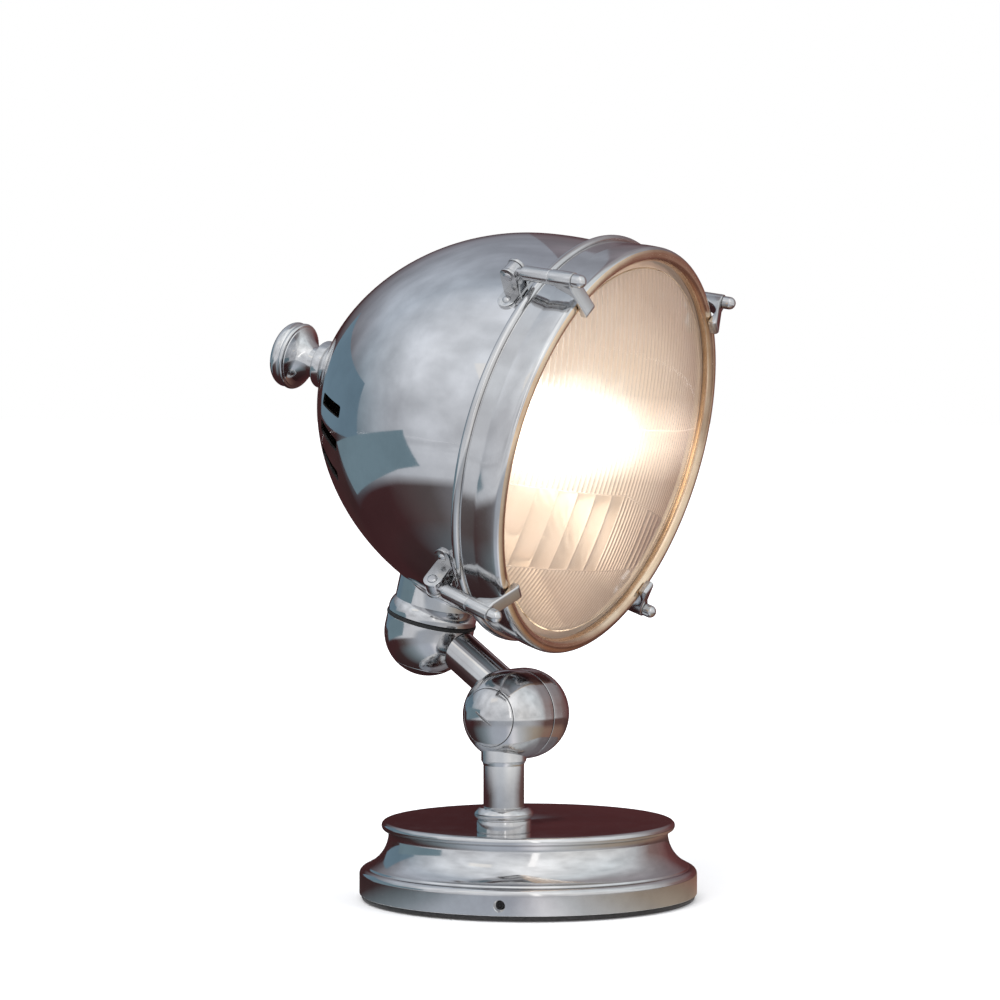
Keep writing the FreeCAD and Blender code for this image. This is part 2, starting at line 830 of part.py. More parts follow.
def reflector():
    """Parabolic dish with a flat rim, open at the back for the lamp."""
    hole_depth = reflector_depth * (1 - (reflector_hole / reflector_edge) ** 2)
    inside = []
    for k in range(9):
        depth = hole_depth * k / 8
        inside.append(Vector(reflector_radius(depth), 0, seal_front + depth))
    dish = Part.BSplineCurve()
    dish.interpolate(inside)
    sheet = Part.BSplineCurve()
    sheet.interpolate([point + Vector(reflector_sheet, 0, reflector_sheet * 0.6) for point in inside])
    first, last = inside[0], inside[-1]
    shift = Vector(reflector_sheet, 0, reflector_sheet * 0.6)
    edges = [dish.toShape(), Part.LineSegment(last, last + shift).toShape(), sheet.toShape(),
             Part.LineSegment(first + shift, first).toShape()]
    bowl = Part.Face(Part.Wire(Part.__sortEdges__(edges))).revolve(ORIGIN, Z, 360)
    rim = ring(lens_radius, reflector_edge, gasket_back, seal_front)
    step = ring(seal_inner - 0.3, reflector_edge, gasket_back, seal_front + reflector_sheet * 0.6)
    return placed(bowl.fuse([rim, step]), head_frame)


# Lamp

def bulb_glass():
    neck_start = (bulb_neck, cap_front - 4)
    glass = turned([
        (0, bulb_widest - bulb_radius),
        (corner(0, bulb_widest, bulb_radius, -45), (bulb_radius, bulb_widest)),
        (arc_middle((bulb_radius, bulb_widest), neck_start, 2.2), neck_start),
        (bulb_neck, cap_front), (0, cap_front)])
    return placed(glass, head_frame)


def bulb_cap():
    cap = turned([(0, cap_front), (cap_radius, cap_front), (cap_radius, cap_back - 6),
                  (cap_radius * 0.5, cap_back - 1.5), (cap_radius * 0.4, cap_back), (0, cap_back)])
    return placed(cap, head_frame)


def lamp_holder():
    holder = turned([
        (cap_radius + 0.3, cap_front + 1), (holder_radius, cap_front + 1),
        (holder_radius, holder_shoulder), (holder_radius * 0.6, holder_back), (0, holder_back),
        (0, cap_back), (cap_radius + 0.3, cap_back)])
    return placed(holder, head_frame)


def holder_stem():
    return placed(rod(holder_stem_radius, holder_back, switch_front), head_frame)


def switch_body():
    body = turned([
        (0, switch_front), (switch_radius - 1.5, switch_front), (switch_radius, switch_front + 1.5),
        (switch_radius, switch_back), (switch_bush, switch_back), (switch_bush, collar_step + 2),
        (0, collar_step + 2)])
    bore = rod(spindle_radius + swivel_fit, switch_back, collar_step + 3)
    return placed(body.cut(bore), head_frame)


def switch_washer():
    """Dished washer between the switch and the shell."""
    washer = ring(switch_radius, switch_bush, switch_back, collar_step)
    return placed(washer.common(shell_solid(-shell_wall, 0, shell_hole)), head_frame)


# Knob

def rear_collar():
    """Stepped collar behind the shell: a wide foot, a fine groove and a rounded ring."""
    top = collar_back - collar_round
    collar = turned([
        (spindle_radius + swivel_fit, switch_back), (collar_foot_radius, switch_back),
        (collar_foot_radius, collar_step - 1.5),
        (corner(collar_foot_radius - 1.5, collar_step - 1.5, 1.5, 45), (collar_foot_radius - 1.5, collar_step)),
        (collar_radius - collar_groove, collar_step), (collar_radius - collar_groove, collar_step + 1),
        (collar_radius, collar_step + 2), (collar_radius, top),
        (corner(collar_radius - collar_round, top, collar_round, 45), (collar_radius - collar_round, collar_back)),
        (spindle_radius + swivel_fit, collar_back)])
    collar = collar.cut(shell_solid(0, 0, shell_hole))
    collar = collar.cut(rod(switch_bush, switch_back, collar_step + 2))
    return placed(max(collar.Solids, key=lambda solid: solid.Volume), head_frame)


def switch_knob():
    """Trumpet knob: a slim neck, a hollow flare and a rounded rim."""
    front = collar_back + knob_gap
    neck_end = (knob_neck, front + knob_neck_length)
    flare_end = (knob_flare, knob_rim_front - 1)
    rim_back = knob_back - knob_round
    rim_inner = knob_rim_radius - knob_round
    knob = turned([
        (spindle_radius, front), (knob_neck, front), neck_end,
        (arc_middle(neck_end, flare_end, -1.9), flare_end), (knob_flare, knob_rim_front - 0.4),
        (knob_rim_radius - 1.2, knob_rim_front),
        ((knob_rim_radius, knob_rim_front + 2.6), (knob_rim_radius, rim_back)),
        (corner(rim_inner, rim_back, knob_round, 45),
         (rim_inner, knob_back)),
        (rim_inner - 1.2, knob_back - 0.7),
        (dome_middle(rim_inner - 1.2, knob_back + knob_crown, knob_crown + 0.7), (0, knob_back + knob_crown)),
        (0, knob_rim_front), (spindle_radius, knob_rim_front)])
    return placed(knob, head_frame)


def knob_spindle():
    return placed(rod(spindle_radius, switch_back, knob_rim_front), head_frame)


# Clamps, drawn in the head's frame at the top of the head and turned to their places.
# Along a bolt, distances run forward from its hinge pin.

pin_at = Vector(0, pin_height, pin_place)
bolt_way = Rotation(X, bolt_lean).multVec(Vector(0, 0, -1))


def on_bolt(distance):
    """A point on the axis of the bolt."""
    return pin_at + bolt_way * distance


def clamp_turn(k):
    return -(clamp_first + 360.0 * k / clamp_count)


def rivet_holes():
    holes = []
    for k in range(clamp_count):
        for side in (1, -1):
            hole = rod(rivet_radius, 0, 2 * shell_radius, Vector(0, 0, pin_place), Y)
            hole.rotate(ORIGIN, Z, clamp_turn(k) + side * rivet_turn)
            holes.append(hole)
    return holes


def clamp_brackets():
    """Each bracket is a strap riveted to the shell with two ears for the hinge pin."""
    half = ear_radius
    plan = Part.makeBox(2 * (foot_reach - half), 2 * shell_radius, 2 * half,
                        Vector(half - foot_reach, 0, pin_place - half))
    for side in (1, -1):
        end = Vector(side * (foot_reach - half), 0, pin_place)
        plan = plan.fuse(rod(half, 0, 2 * shell_radius, end, Y))
    strap = shell_layer(0, foot_thickness, shell_front + 1, shell_hole).common(plan)
    bracket = strap
    base = arc_radius(pin_place, 0)
    for side in (1, -1):
        inner = side * ear_gap / 2
        outer = side * (ear_gap / 2 + ear_thickness)
        start = min(inner, outer)
        plate = Part.makeBox(ear_thickness, pin_height - base + 3, 2 * half,
                             Vector(start, base - 3, pin_place - half))
        plate = plate.fuse(rod(ear_radius, start, start + ear_thickness, pin_at, X))
        plate = plate.cut(shell_solid(0, 0, shell_hole))
        bracket = bracket.fuse(plate)
    bracket = bracket.removeSplitter().cut(rod(pin_radius, -foot_reach, foot_reach, pin_at, X))
    copies = []
    for k in range(clamp_count):
        copy = bracket.copy()
        copy.rotate(ORIGIN, Z, clamp_turn(k))
        copies.append(copy)
    brackets = Part.makeCompound(copies)
    return placed(brackets.cut(rivet_holes()), head_frame)


def bracket_rivets():
    foot = arc_radius(pin_place, foot_thickness) + 0.15
    inside = arc_radius(pin_place, -shell_wall) - 0.6
    rivet = turned([
        (0, inside - 1.2), (rivet_head * 0.9, inside - 1.2), (rivet_head * 0.9, inside),
        (rivet_radius, inside), (rivet_radius, foot), (rivet_head, foot),
        (dome_middle(rivet_head, foot + rivet_rise, rivet_rise), (0, foot + rivet_rise))])
    rivet.rotate(ORIGIN, X, -90)
    rivet.translate(Vector(0, 0, pin_place))
    rivets = []
    for k in range(clamp_count):
        for side in (1, -1):
            copy = rivet.copy()
            copy.rotate(ORIGIN, Z, clamp_turn(k) + side * rivet_turn)
            rivets.append(copy)
    return placed(Part.makeCompound(rivets), head_frame)


def hinge_pins():
    ear = ear_gap / 2 + ear_thickness
    pin = rod(pin_radius, -ear - pin_head_height, ear + pin_head_height, pin_at, X)
    for side in (1, -1):
        pin = pin.fuse(Part.makeCone(pin_head, pin_head * 0.6, pin_head_height, pin_at + X * side * ear, X * side))
    pins = []
    for k in range(clamp_count):
        copy = pin.copy()
        copy.rotate(ORIGIN, Z, clamp_turn(k))
        pins.append(copy)
    return placed(Part.makeCompound(pins), head_frame)


def swing_bolt():
    eye = rod(eye_radius, -eye_width / 2, eye_width / 2, pin_at, X)
    shank = rod(rod_radius, 0, claw_face + clamp_nut_length * 0.6, pin_at, bolt_way)
    return eye.fuse(shank).cut(rod(pin_radius + pin_fit, -eye_width, eye_width, pin_at, X))


def clamp_sleeve():
    sleeve = ring(sleeve_radius, rod_radius, sleeve_start, sleeve_end, pin_at, bolt_way)
    return sleeve


def clamp_claw():
    """Claw on the bolt: a barrel, a web that drops inwards and a toe that hooks over the lip."""
    toe_back = -lip_round - toe_gap
    rear = on_bolt(sleeve_end + 2)
    face = on_bolt(claw_face)
    inward = bolt_way.cross(X)
    below_nut = face + inward * (clamp_nut_radius + 0.7)
    points = [
        Vector(0, rear.y, rear.z), Vector(0, face.y, face.z), Vector(0, below_nut.y, below_nut.z),
        Vector(0, toe_reach + 2.6, toe_back - toe_thickness), Vector(0, toe_reach, toe_back - toe_thickness * 0.7),
        Vector(0, toe_reach, toe_back), Vector(0, lip_radius + 2.0, toe_back),
        Vector(0, lip_radius + 7.0, toe_back + 5.2), Vector(0, rear.y - claw_barrel + 1.4, rear.z - 3.5)]
    web = Part.Face(Part.makePolygon(points + points[:1])).extrude(X * claw_width)
    web.translate(X * -claw_width / 2)
    barrel = rod(claw_barrel, sleeve_end, claw_face, pin_at, bolt_way)
    claw = web.fuse(barrel).removeSplitter()
    return claw.cut(rod(rod_radius, 0, 2 * claw_face, pin_at, bolt_way))


def clamp_nut():
    """Domed nut on the end of the bolt."""
    straight = clamp_nut_length - clamp_nut_radius
    nut = turned([(0, 0), (clamp_nut_radius, 0), (clamp_nut_radius, straight),
                  (corner(0, straight, clamp_nut_radius, 45), (0, clamp_nut_length))])
    nut = placed(nut, Placement(on_bolt(claw_face), Rotation(Z, bolt_way)))
    return nut.cut(rod(rod_radius, 0, claw_face + clamp_nut_length * 0.6, pin_at, bolt_way))


clamp_pieces = {"swing_bolt": swing_bolt, "clamp_sleeve": clamp_sleeve,
                "clamp_claw": clamp_claw, "clamp_nut": clamp_nut}


def build():
    """Every node of the lamp by its name."""
    nodes = {make.__name__: make() for make in (
        base_cover, base_weight, base_plate, base_pad, cover_screws, plate_screws, cord_gland, post_bush,
        post_stem, post_tube, swivel_washer, swivel_nut, knuckle_post_half, tilt_bolt, tilt_cap, tilt_washer,
        knuckle_arm_half, arm_tube, neck_ball, yaw_gasket, yaw_bolt, yaw_nut,
        head_neck, neck_saddle, neck_ring_nut, head_shell, bezel, lens_glass, lens_seal, bezel_seal,
        reflector, bulb_glass, bulb_cap, lamp_holder, holder_stem, switch_body, switch_washer, rear_collar,
        clamp_brackets, bracket_rivets, hinge_pins, switch_knob, knob_spindle)}
    for name, make in clamp_pieces.items():
        for k in range(clamp_count):
            piece = make()
            piece.rotate(ORIGIN, Z, clamp_turn(k))
            nodes[name + "_" + str(k + 1)] = placed(piece, head_frame)
    return nodes


def main():
    os.makedirs("parts", exist_ok=True)
    nodes = build()
    for name, shape in nodes.items():
        shape.exportStep("parts/" + name + ".step")
    print(len(nodes), "nodes")
    return nodes


main()
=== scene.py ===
from math import acos, asin, atan2, cos, degrees, hypot, pi, radians, sin, sqrt, tan

import bmesh
import bpy
from mathutils import Matrix, Vector

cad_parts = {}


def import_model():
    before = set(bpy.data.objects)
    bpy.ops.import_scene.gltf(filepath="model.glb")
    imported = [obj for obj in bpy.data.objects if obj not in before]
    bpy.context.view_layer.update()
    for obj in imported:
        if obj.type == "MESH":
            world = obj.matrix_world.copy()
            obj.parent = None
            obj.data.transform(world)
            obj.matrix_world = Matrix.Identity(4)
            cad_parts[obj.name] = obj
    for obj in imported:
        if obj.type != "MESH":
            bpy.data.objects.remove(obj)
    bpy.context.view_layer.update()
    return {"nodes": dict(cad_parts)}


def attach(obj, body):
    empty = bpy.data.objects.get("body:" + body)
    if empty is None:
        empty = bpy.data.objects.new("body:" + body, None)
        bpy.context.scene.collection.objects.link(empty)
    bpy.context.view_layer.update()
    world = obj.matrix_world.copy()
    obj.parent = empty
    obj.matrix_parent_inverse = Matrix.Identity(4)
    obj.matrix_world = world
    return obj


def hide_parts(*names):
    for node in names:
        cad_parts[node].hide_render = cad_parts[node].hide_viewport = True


# A tabletop searchlight lamp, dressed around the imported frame.
# Lengths are in millimetres until a mesh is made.
MM = 0.001

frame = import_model()

# Camera, solved from the photograph
CAMERA_AT = Vector((-2060.5, -1366.8, 356.2))
CAMERA_AZIMUTH = -56.442
CAMERA_YAW = -0.008
CAMERA_PITCH = 0.031
CAMERA_LENS = 127.16

# Foot
BASE_R = 118.5
PLATE = 4.1
BAND = 13.6
SHOULDER = 4.6
STEP = 1.3
COVE_FOOT = 112.6
COVE_TOP = 98.2
COVE_H = 20.6
COVE_HOLLOW = 3.2
BEAD = 3.2
DISC_R = 103.0
DISC_NECK = 4.2
WALL = 3.0
BAND_SCREW = 204.1
GLAND = 24.1
BAND_Z = PLATE + BAND / 2

# Post
POST = Vector((-64.0, -22.4, 0.0))
TUBE = 14.0
BUSH_FOOT = 18.8
BUSH_FOOT_H = 9.6
BUSH_RING = 20.5
BUSH_RING_H = 7.4

# Knuckles
BALL = 31.3
STRAIGHT = 9.6
SEAM = 1.0
TILT_Z = 134.2
OFFSET = 15.2
SOCKET = 15.5
SOCKET_DROP = 2.4
HEAD_R = 20.0
HEAD_SEAT = 3.0

# Arm and neck
ARM_ANGLE = 35.0
ARM = 101.0
YAW_DROP = 4.3
LEAN = 14.8
TURN = 4.2
GASKET = 2.6
NECK = 28.3
NECK_SHOULDER = 10.5
TO_AXIS = 150.5
TO_LIP = 106.2

SHOULDER_Z = PLATE + BAND
COVE_FOOT_Z = SHOULDER_Z + SHOULDER + STEP
COVE_TOP_Z = COVE_FOOT_Z + COVE_H
DISC_TOP = COVE_TOP_Z + DISC_NECK + 2 * BEAD

# Head, measured back from the lip
SHELL_START = (34.0, 136.35)
SHELL_ARCS = ((287.0, -0.5, 9.2), (179.5, 9.2, 57.6), (120.0, 57.6, 90.0))
SHELL_FRONT = 26.5
SHELL_WALL = 1.6
SHELL_HOLE = 7.2
VENT_W = 8.6
VENT = (150.0, 179.0)
VENT_FIRST = 95.4
VENT_PITCH = 13.0
LIP_R = 143.3
LIP = 5.0
BEZEL_BEAD = 3.3
BEZEL_BEAD_R = 143.9
BEZEL_BEAD_AT = 30.5
WAIST = 141.3
GLASS_AT = 2.0
LENS_R = 137.2
LENS_EDGE = 5.0
LENS_SPHERE = 392.0
LENS_THICK = 4.6
LENS_TURN = 3.6
COLLAR = (18.6, 17.2)
COLLAR_AT = (228.0, 237.4)

# Clamps
CLAMP_FIRST = 41.5
PIN_H = 152.0
PIN_AT = 46.0
BOLT_LEAN = 8.6
EAR_GAP = 8.0
EAR = 2.2
EAR_R = 6.2


def rotation(axis, degrees):
    return Matrix.Rotation(radians(degrees), 4, axis)


def move(x, y, z):
    return Matrix.Translation((x, y, z))


POST_AT = Matrix.Translation(POST)
TILT_AT = move(POST.x + OFFSET, POST.y, TILT_Z)
ARM_AT = TILT_AT @ rotation("X", ARM_ANGLE)
YAW_AT = (Matrix.Translation(ARM_AT @ Vector((OFFSET, ARM, 0))) @ rotation("X", LEAN)
          @ move(0, 0, YAW_DROP))
TURNED_AT = YAW_AT @ rotation("Z", TURN)
# X is the head's right side, Y its top, and Z runs back from the lip
BACKWARD = Matrix(((-1, 0, 0, 0), (0, 0, 1, 0), (0, 1, 0, 0), (0, 0, 0, 1)))
HEAD_AT = TURNED_AT @ move(0, -TO_LIP, TO_AXIS) @ BACKWARD
POST_SIDE = TILT_AT @ rotation("Y", -90)
ARM_SIDE = TILT_AT @ rotation("Y", 90)
LOWER_SIDE = YAW_AT @ rotation("X", 180)


# Mesh helpers

SHARP = 32.0


def new_mesh(name, bm):
    mesh = bpy.data.meshes.new(name)
    bm.to_mesh(mesh)
    bm.free()
    return mesh


def new_object(name, data):
    made = bpy.data.objects.new(name, data)
    bpy.context.scene.collection.objects.link(made)
    return made


def shade(mesh, sharp=SHARP):
    mesh.polygons.foreach_set("use_smooth", [True] * len(mesh.polygons))
    mesh.set_sharp_from_angle(angle=radians(sharp))


def finish_mesh(name, bm, at, material, sharp=SHARP):
    """Turns a bmesh in millimetres into an object in the row frame."""
    bmesh.ops.remove_doubles(bm, verts=bm.verts, dist=1e-4)
    bmesh.ops.recalc_face_normals(bm, faces=bm.faces)
    mesh = new_mesh(name, bm)
    mesh.transform(Matrix.Scale(MM, 4) @ at)
    if at.determinant() < 0:
        mesh.flip_normals()
    shade(mesh, sharp)
    mesh.materials.append(material)
    return new_object(name, mesh)


def arc(centre, radius, start, end, count=8):
    """Points round a centre, from one angle to another in degrees."""
    points = []
    for k in range(count + 1):
        angle = radians(start + (end - start) * k / count)
        points.append((centre[0] + radius * cos(angle), centre[1] + radius * sin(angle)))
    return points


def bow(p, q, bulge, count=16):
    """Points on an arc from p to q that stands off its chord to the right."""
    if abs(bulge) < 1e-6:
        return [p, q]
    px, pz = p
    dx, dz = q[0] - px, q[1] - pz
    length = hypot(dx, dz)
    radius = (length ** 2 / 4 + bulge ** 2) / (2 * abs(bulge))
    sign = 1 if bulge > 0 else -1
    nx, nz = dz / length * sign, -dx / length * sign
    cx = px + dx / 2 + nx * (abs(bulge) - radius)
    cz = pz + dz / 2 + nz * (abs(bulge) - radius)
    start = atan2(pz - cz, px - cx)
    sweep = atan2(q[1] - cz, q[0] - cx) - start
    while sweep > pi:
        sweep -= 2 * pi
    while sweep < -pi:
        sweep += 2 * pi
    return [(cx + radius * cos(start + sweep * k / count),
             cz + radius * sin(start + sweep * k / count)) for k in range(count + 1)]


def soften(points, radius, closed=False, least=24.0, steps=3):
    """Rounds the sharp corners of an outline."""
    made = []
    count = len(points)
    for k, here in enumerate(points):
        if not closed and k in (0, count - 1):
            made.append(here)
            continue
        p, q = Vector(points[k - 1]), Vector(points[(k + 1) % count])
        c = Vector(here)
        a, b = p - c, q - c
        if a.length < 1e-6 or b.length < 1e-6:
            continue
        turn = 180.0 - degrees(a.angle(b))
        if turn < least:
            made.append(here)
            continue
        reach = min(radius * tan(radians(turn / 2)), a.length * 0.45, b.length * 0.45)
        start, end = c + a.normalized() * reach, c + b.normalized() * reach
        for j in range(steps + 1):
            t = j / steps
            point = start * (1 - t) ** 2 + c * 2 * t * (1 - t) + end * t ** 2
            made.append((point.x, point.y))
    return made


def skin(bm, low, high):
    """Faces between two rings of points."""
    for k in range(len(low)):
        j = (k + 1) % len(low)
        bm.faces.new((low[k], low[j], high[j], high[k]))


def lathe_mesh(points, segments=160, closed=True):
    """A surface of revolution about Z. Points are radius and height."""
    bm = bmesh.new()
    rings = []
    for r, z in points:
        if r < 1e-5:
            rings.append([bm.verts.new((0, 0, z))])
            continue
        angles = [2 * pi * k / segments for k in range(segments)]
        rings.append([bm.verts.new((r * cos(a), r * sin(a), z)) for a in angles])
    pairs = list(zip(rings, rings[1:]))
    if closed and len(rings[0]) > 1 and len(rings[-1]) > 1:
        pairs.append((rings[-1], rings[0]))
    for low, high in pairs:
        if len(low) == len(high):
            if len(low) > 1:
                skin(bm, low, high)
            continue
        for k in range(segments):
            j = (k + 1) % segments
            bm.faces.new((low[0], high[j], high[k]) if len(low) == 1 else (low[k], low[j], high[0]))
    return bm


def lathe(name, points, at, material, segments=160, edge=0.35):
    """A turned piece. Its outline is closed unless both ends are on the axis."""
    closed = max(points[0][0], points[-1][0]) >= 1e-5
    outline = soften(points, edge, closed) if edge else points
    return finish_mesh(name, lathe_mesh(outline, segments, closed), at, material)


def prism(outline, low, high):
    """A straight prism along X of an outline in Y and Z."""
    bm = bmesh.new()
    near = [bm.verts.new((low, y, z)) for y, z in outline]
    far = [bm.verts.new((high, y, z)) for y, z in outline]
    bm.faces.new(near)
    bm.faces.new(list(reversed(far)))
    for k in range(len(outline)):
        j = (k + 1) % len(outline)
        bm.faces.new((near[k], far[k], far[j], near[j]))
    return bm


def cutter(bm, at):
    """An unshown solid for one cut or join."""
    bmesh.ops.recalc_face_normals(bm, faces=bm.faces)
    mesh = new_mesh("cutter", bm)
    mesh.transform(Matrix.Scale(MM, 4) @ at)
    return new_object("cutter", mesh)


def combine(target, tools, operation="DIFFERENCE"):
    """Cuts tools out of a piece, or joins them to it, and removes them."""
    for tool in tools:
        change = target.modifiers.new("change", "BOOLEAN")
        change.operation = operation
        change.solver = "EXACT"
        change.object = tool
    bake(target)
    for tool in tools:
        bpy.data.objects.remove(tool)


def bake(target):
    """Applies the modifiers of a piece."""
    graph = bpy.context.evaluated_depsgraph_get()
    mesh = bpy.data.meshes.new_from_object(target.evaluated_get(graph))
    target.modifiers.clear()
    target.data = mesh
    shade(mesh)


def bevel(target, width, segments, angle):
    change = target.modifiers.new("bevel", "BEVEL")
    change.width = width * MM
    change.segments = segments
    change.limit_method = "ANGLE"
    change.angle_limit = radians(angle)
    bake(target)


def rod_mesh(radius, low, high, segments=48, edge=0.0):
    points = [(0, low), (radius, low), (radius, high), (0, high)]
    if edge:
        points = soften(points, edge)
    return lathe_mesh(points, segments, closed=False)


def dome(radius, top, rise, count=12):
    """Points of a spherical cap from its rim to the axis."""
    sphere = (radius ** 2 + rise ** 2) / (2 * abs(rise))
    whole = asin(min(radius / sphere, 1))
    sign = 1 if rise > 0 else -1
    return [(sphere * sin(whole * (1 - k / count)),
             top - sign * sphere * (1 - cos(whole * (1 - k / count)))) for k in range(count + 1)]


# Materials

def shader_of(name, values):
    """A new material. Values are set on the shader's own sockets."""
    made = bpy.data.materials.new(name)
    made.use_nodes = True
    tree = made.node_tree
    shader = tree.nodes["Principled BSDF"]
    for key, value in values.items():
        shader.inputs[key].default_value = value
    return made, tree, shader


def feed(tree, socket, value):
    """Links another socket to an input, or sets the input's own value."""
    if isinstance(value, bpy.types.NodeSocket):
        tree.links.new(value, socket)
    else:
        socket.default_value = value


def feed_all(tree, made, values):
    """Feeds the inputs of a node in their order."""
    for socket, value in zip(made.inputs, values):
        feed(tree, socket, value)
    return made


def node(tree, kind, **values):
    """A new node. Each value is for the input or the setting of that name."""
    made = tree.nodes.new("ShaderNode" + kind)
    for key, value in values.items():
        if key in made.inputs:
            feed(tree, made.inputs[key], value)
        else:
            setattr(made, key, value)
    return made


def ramp(tree, source, stops):
    made = node(tree, "ValToRGB", Fac=source)
    elements = made.color_ramp.elements
    while len(elements) < len(stops):
        elements.new(0.5)
    for element, (stop, colour) in zip(elements, stops):
        element.position = stop
        element.color = (*colour, 1.0)
    return made.outputs["Color"]


def spread(tree, source, low, high, to_low, to_high):
    ends = {"From Min": low, "From Max": high, "To Min": to_low, "To Max": to_high}
    return node(tree, "MapRange", Value=source, **ends).outputs["Result"]


def noise_of(tree, scale, detail, rough, stretch=None):
    """A noise in the piece's own coordinates. Stretch scales each axis."""
    place_at = position(tree)
    if stretch:
        place_at = node(tree, "Mapping", Vector=place_at, Scale=stretch).outputs["Vector"]
    made = node(tree, "TexNoise", Vector=place_at, Scale=scale, Detail=detail, Roughness=rough)
    return made.outputs["Fac"]


def bump(tree, shader, height, strength, distance):
    made = node(tree, "Bump", Strength=strength, Distance=distance, Height=height)
    tree.links.new(made.outputs["Normal"], shader.inputs["Normal"])


def math_of(tree, operation, *values):
    return feed_all(tree, node(tree, "Math", operation=operation), values).outputs[0]


def add(tree, first, second, weight):
    return math_of(tree, "MULTIPLY_ADD", second, weight, first)


def vector_math(tree, operation, *values):
    return feed_all(tree, node(tree, "VectorMath", operation=operation), values)


def position(tree):
    return node(tree, "TexCoord").outputs["Object"]


def metal(name, light, dark, rough, rougher, wave=0.25, brush=None, fine=900.0):
    """Plated metal: clouded, unevenly polished, slightly wavy and finely scratched."""
    made, tree, shader = shader_of(name, {"Metallic": 1.0})
    clouds = noise_of(tree, 28.0, 6.0, 0.6)
    tree.links.new(ramp(tree, clouds, [(0.3, dark), (0.62, light)]), shader.inputs["Base Color"])
    smear = noise_of(tree, 70.0, 5.0, 0.65)
    lines = noise_of(tree, fine, 3.0, 0.6, brush) if brush else noise_of(tree, fine, 2.0, 0.5)
    tree.links.new(spread(tree, add(tree, smear, lines, 0.35), 0.45, 0.95, rough, rougher),
                   shader.inputs["Roughness"])
    slow = noise_of(tree, 16.0, 1.5, 0.4)
    bump(tree, shader, add(tree, slow, lines, 0.02 if not brush else 0.05), wave, 0.001)
    return made


def plain(name, light, dark, rough, rougher, scale=300.0, relief=0.2, metallic=0.0, sheen=0.0):
    """A dull material with a fine grain in tone and surface."""
    values = {"Metallic": metallic}
    if sheen:
        values.update({"Sheen Weight": sheen, "Sheen Roughness": 0.6})
    made, tree, shader = shader_of(name, values)
    grain = noise_of(tree, scale, 5.0, 0.6)
    tree.links.new(ramp(tree, grain, [(0.3, dark), (0.7, light)]), shader.inputs["Base Color"])
    tree.links.new(spread(tree, grain, 0.3, 0.7, rough, rougher), shader.inputs["Roughness"])
    bump(tree, shader, grain, relief, 0.0004)
    return made


POLISHED = metal("polished_nickel", (0.66, 0.66, 0.66), (0.56, 0.55, 0.55), 0.06, 0.16, wave=0.08)
SHELL_METAL = metal("shell_nickel", (0.67, 0.67, 0.68), (0.57, 0.57, 0.58), 0.03, 0.09, wave=0.05)
BAND_METAL = metal("brushed_band", (0.64, 0.64, 0.64), (0.52, 0.51, 0.51), 0.07, 0.17, wave=0.02,
                   brush=(0.02, 0.02, 1.0), fine=2600.0)
TUBE_METAL = metal("satin_tube", (0.66, 0.66, 0.66), (0.55, 0.54, 0.54), 0.05, 0.13, wave=0.04)
# Nickel tinted amber for the inside of the lip: a painted reflection of the glowing glass.
LIP_PAINTED_GLOW = metal("lip_painted_glow", (0.84, 0.66, 0.48), (0.68, 0.48, 0.32), 0.12, 0.3, wave=0.05)
CLAMP_METAL = metal("clamp_steel", (0.62, 0.62, 0.62), (0.48, 0.47, 0.47), 0.1, 0.24, wave=0.05)
STEEL = metal("steel", (0.58, 0.58, 0.59), (0.44, 0.43, 0.44), 0.2, 0.36, wave=0.1)
BRASS = metal("brass", (0.72, 0.56, 0.28), (0.55, 0.40, 0.18), 0.25, 0.4, wave=0.1)
MIRROR = metal("mirror", (0.92, 0.88, 0.80), (0.88, 0.83, 0.74), 0.03, 0.08, wave=0.05)
# Dark steel for the dark parts, also used as painted shade inside the shell.
DARK_STEEL_AND_SHADE = plain("dark_steel", (0.06, 0.055, 0.055), (0.02, 0.02, 0.02), 0.4, 0.6, 500.0, 0.15, 0.6)
IRON = plain("cast_iron", (0.16, 0.16, 0.17), (0.07, 0.07, 0.075), 0.6, 0.85, 260.0, 0.6, 0.7)
FELT = plain("felt", (0.05, 0.05, 0.055), (0.02, 0.02, 0.022), 0.85, 1.0, 1500.0, 0.8, 0.0, 0.4)
PLASTIC = plain("black_plastic", (0.05, 0.05, 0.05), (0.03, 0.03, 0.03), 0.35, 0.55, 700.0, 0.1)
FIBRE = plain("black_fibre", (0.022, 0.02, 0.02), (0.008, 0.008, 0.008), 0.45, 0.7, 900.0, 0.25)
RUBBER = plain("black_rubber", (0.03, 0.03, 0.03), (0.012, 0.012, 0.012), 0.55, 0.8, 800.0, 0.2)


def front_glass():
    """Clear pressed glass."""
    made, tree, shader = shader_of("clear_glass", {"Transmission Weight": 1.0, "IOR": 1.5})
    smear = noise_of(tree, 40.0, 4.0, 0.6)
    tree.links.new(ramp(tree, smear, [(0.3, (0.93, 0.90, 0.84)), (0.7, (0.99, 0.97, 0.93))]),
                   shader.inputs["Base Color"])
    tree.links.new(spread(tree, smear, 0.35, 0.7, 0.02, 0.09), shader.inputs["Roughness"])
    bump(tree, shader, noise_of(tree, 120.0, 3.0, 0.5), 0.06, 0.001)
    return made


def along(tree, place_at, at, axis, middle):
    """Millimetres from the plane at the middle of one axis of a frame."""
    way = (at.to_3x3() @ Vector(axis)).normalized()
    made = vector_math(tree, "DOT_PRODUCT", place_at, way / MM)
    return math_of(tree, "SUBTRACT", made.outputs["Value"], way.dot(at @ Vector((0, 0, 0))) + middle)


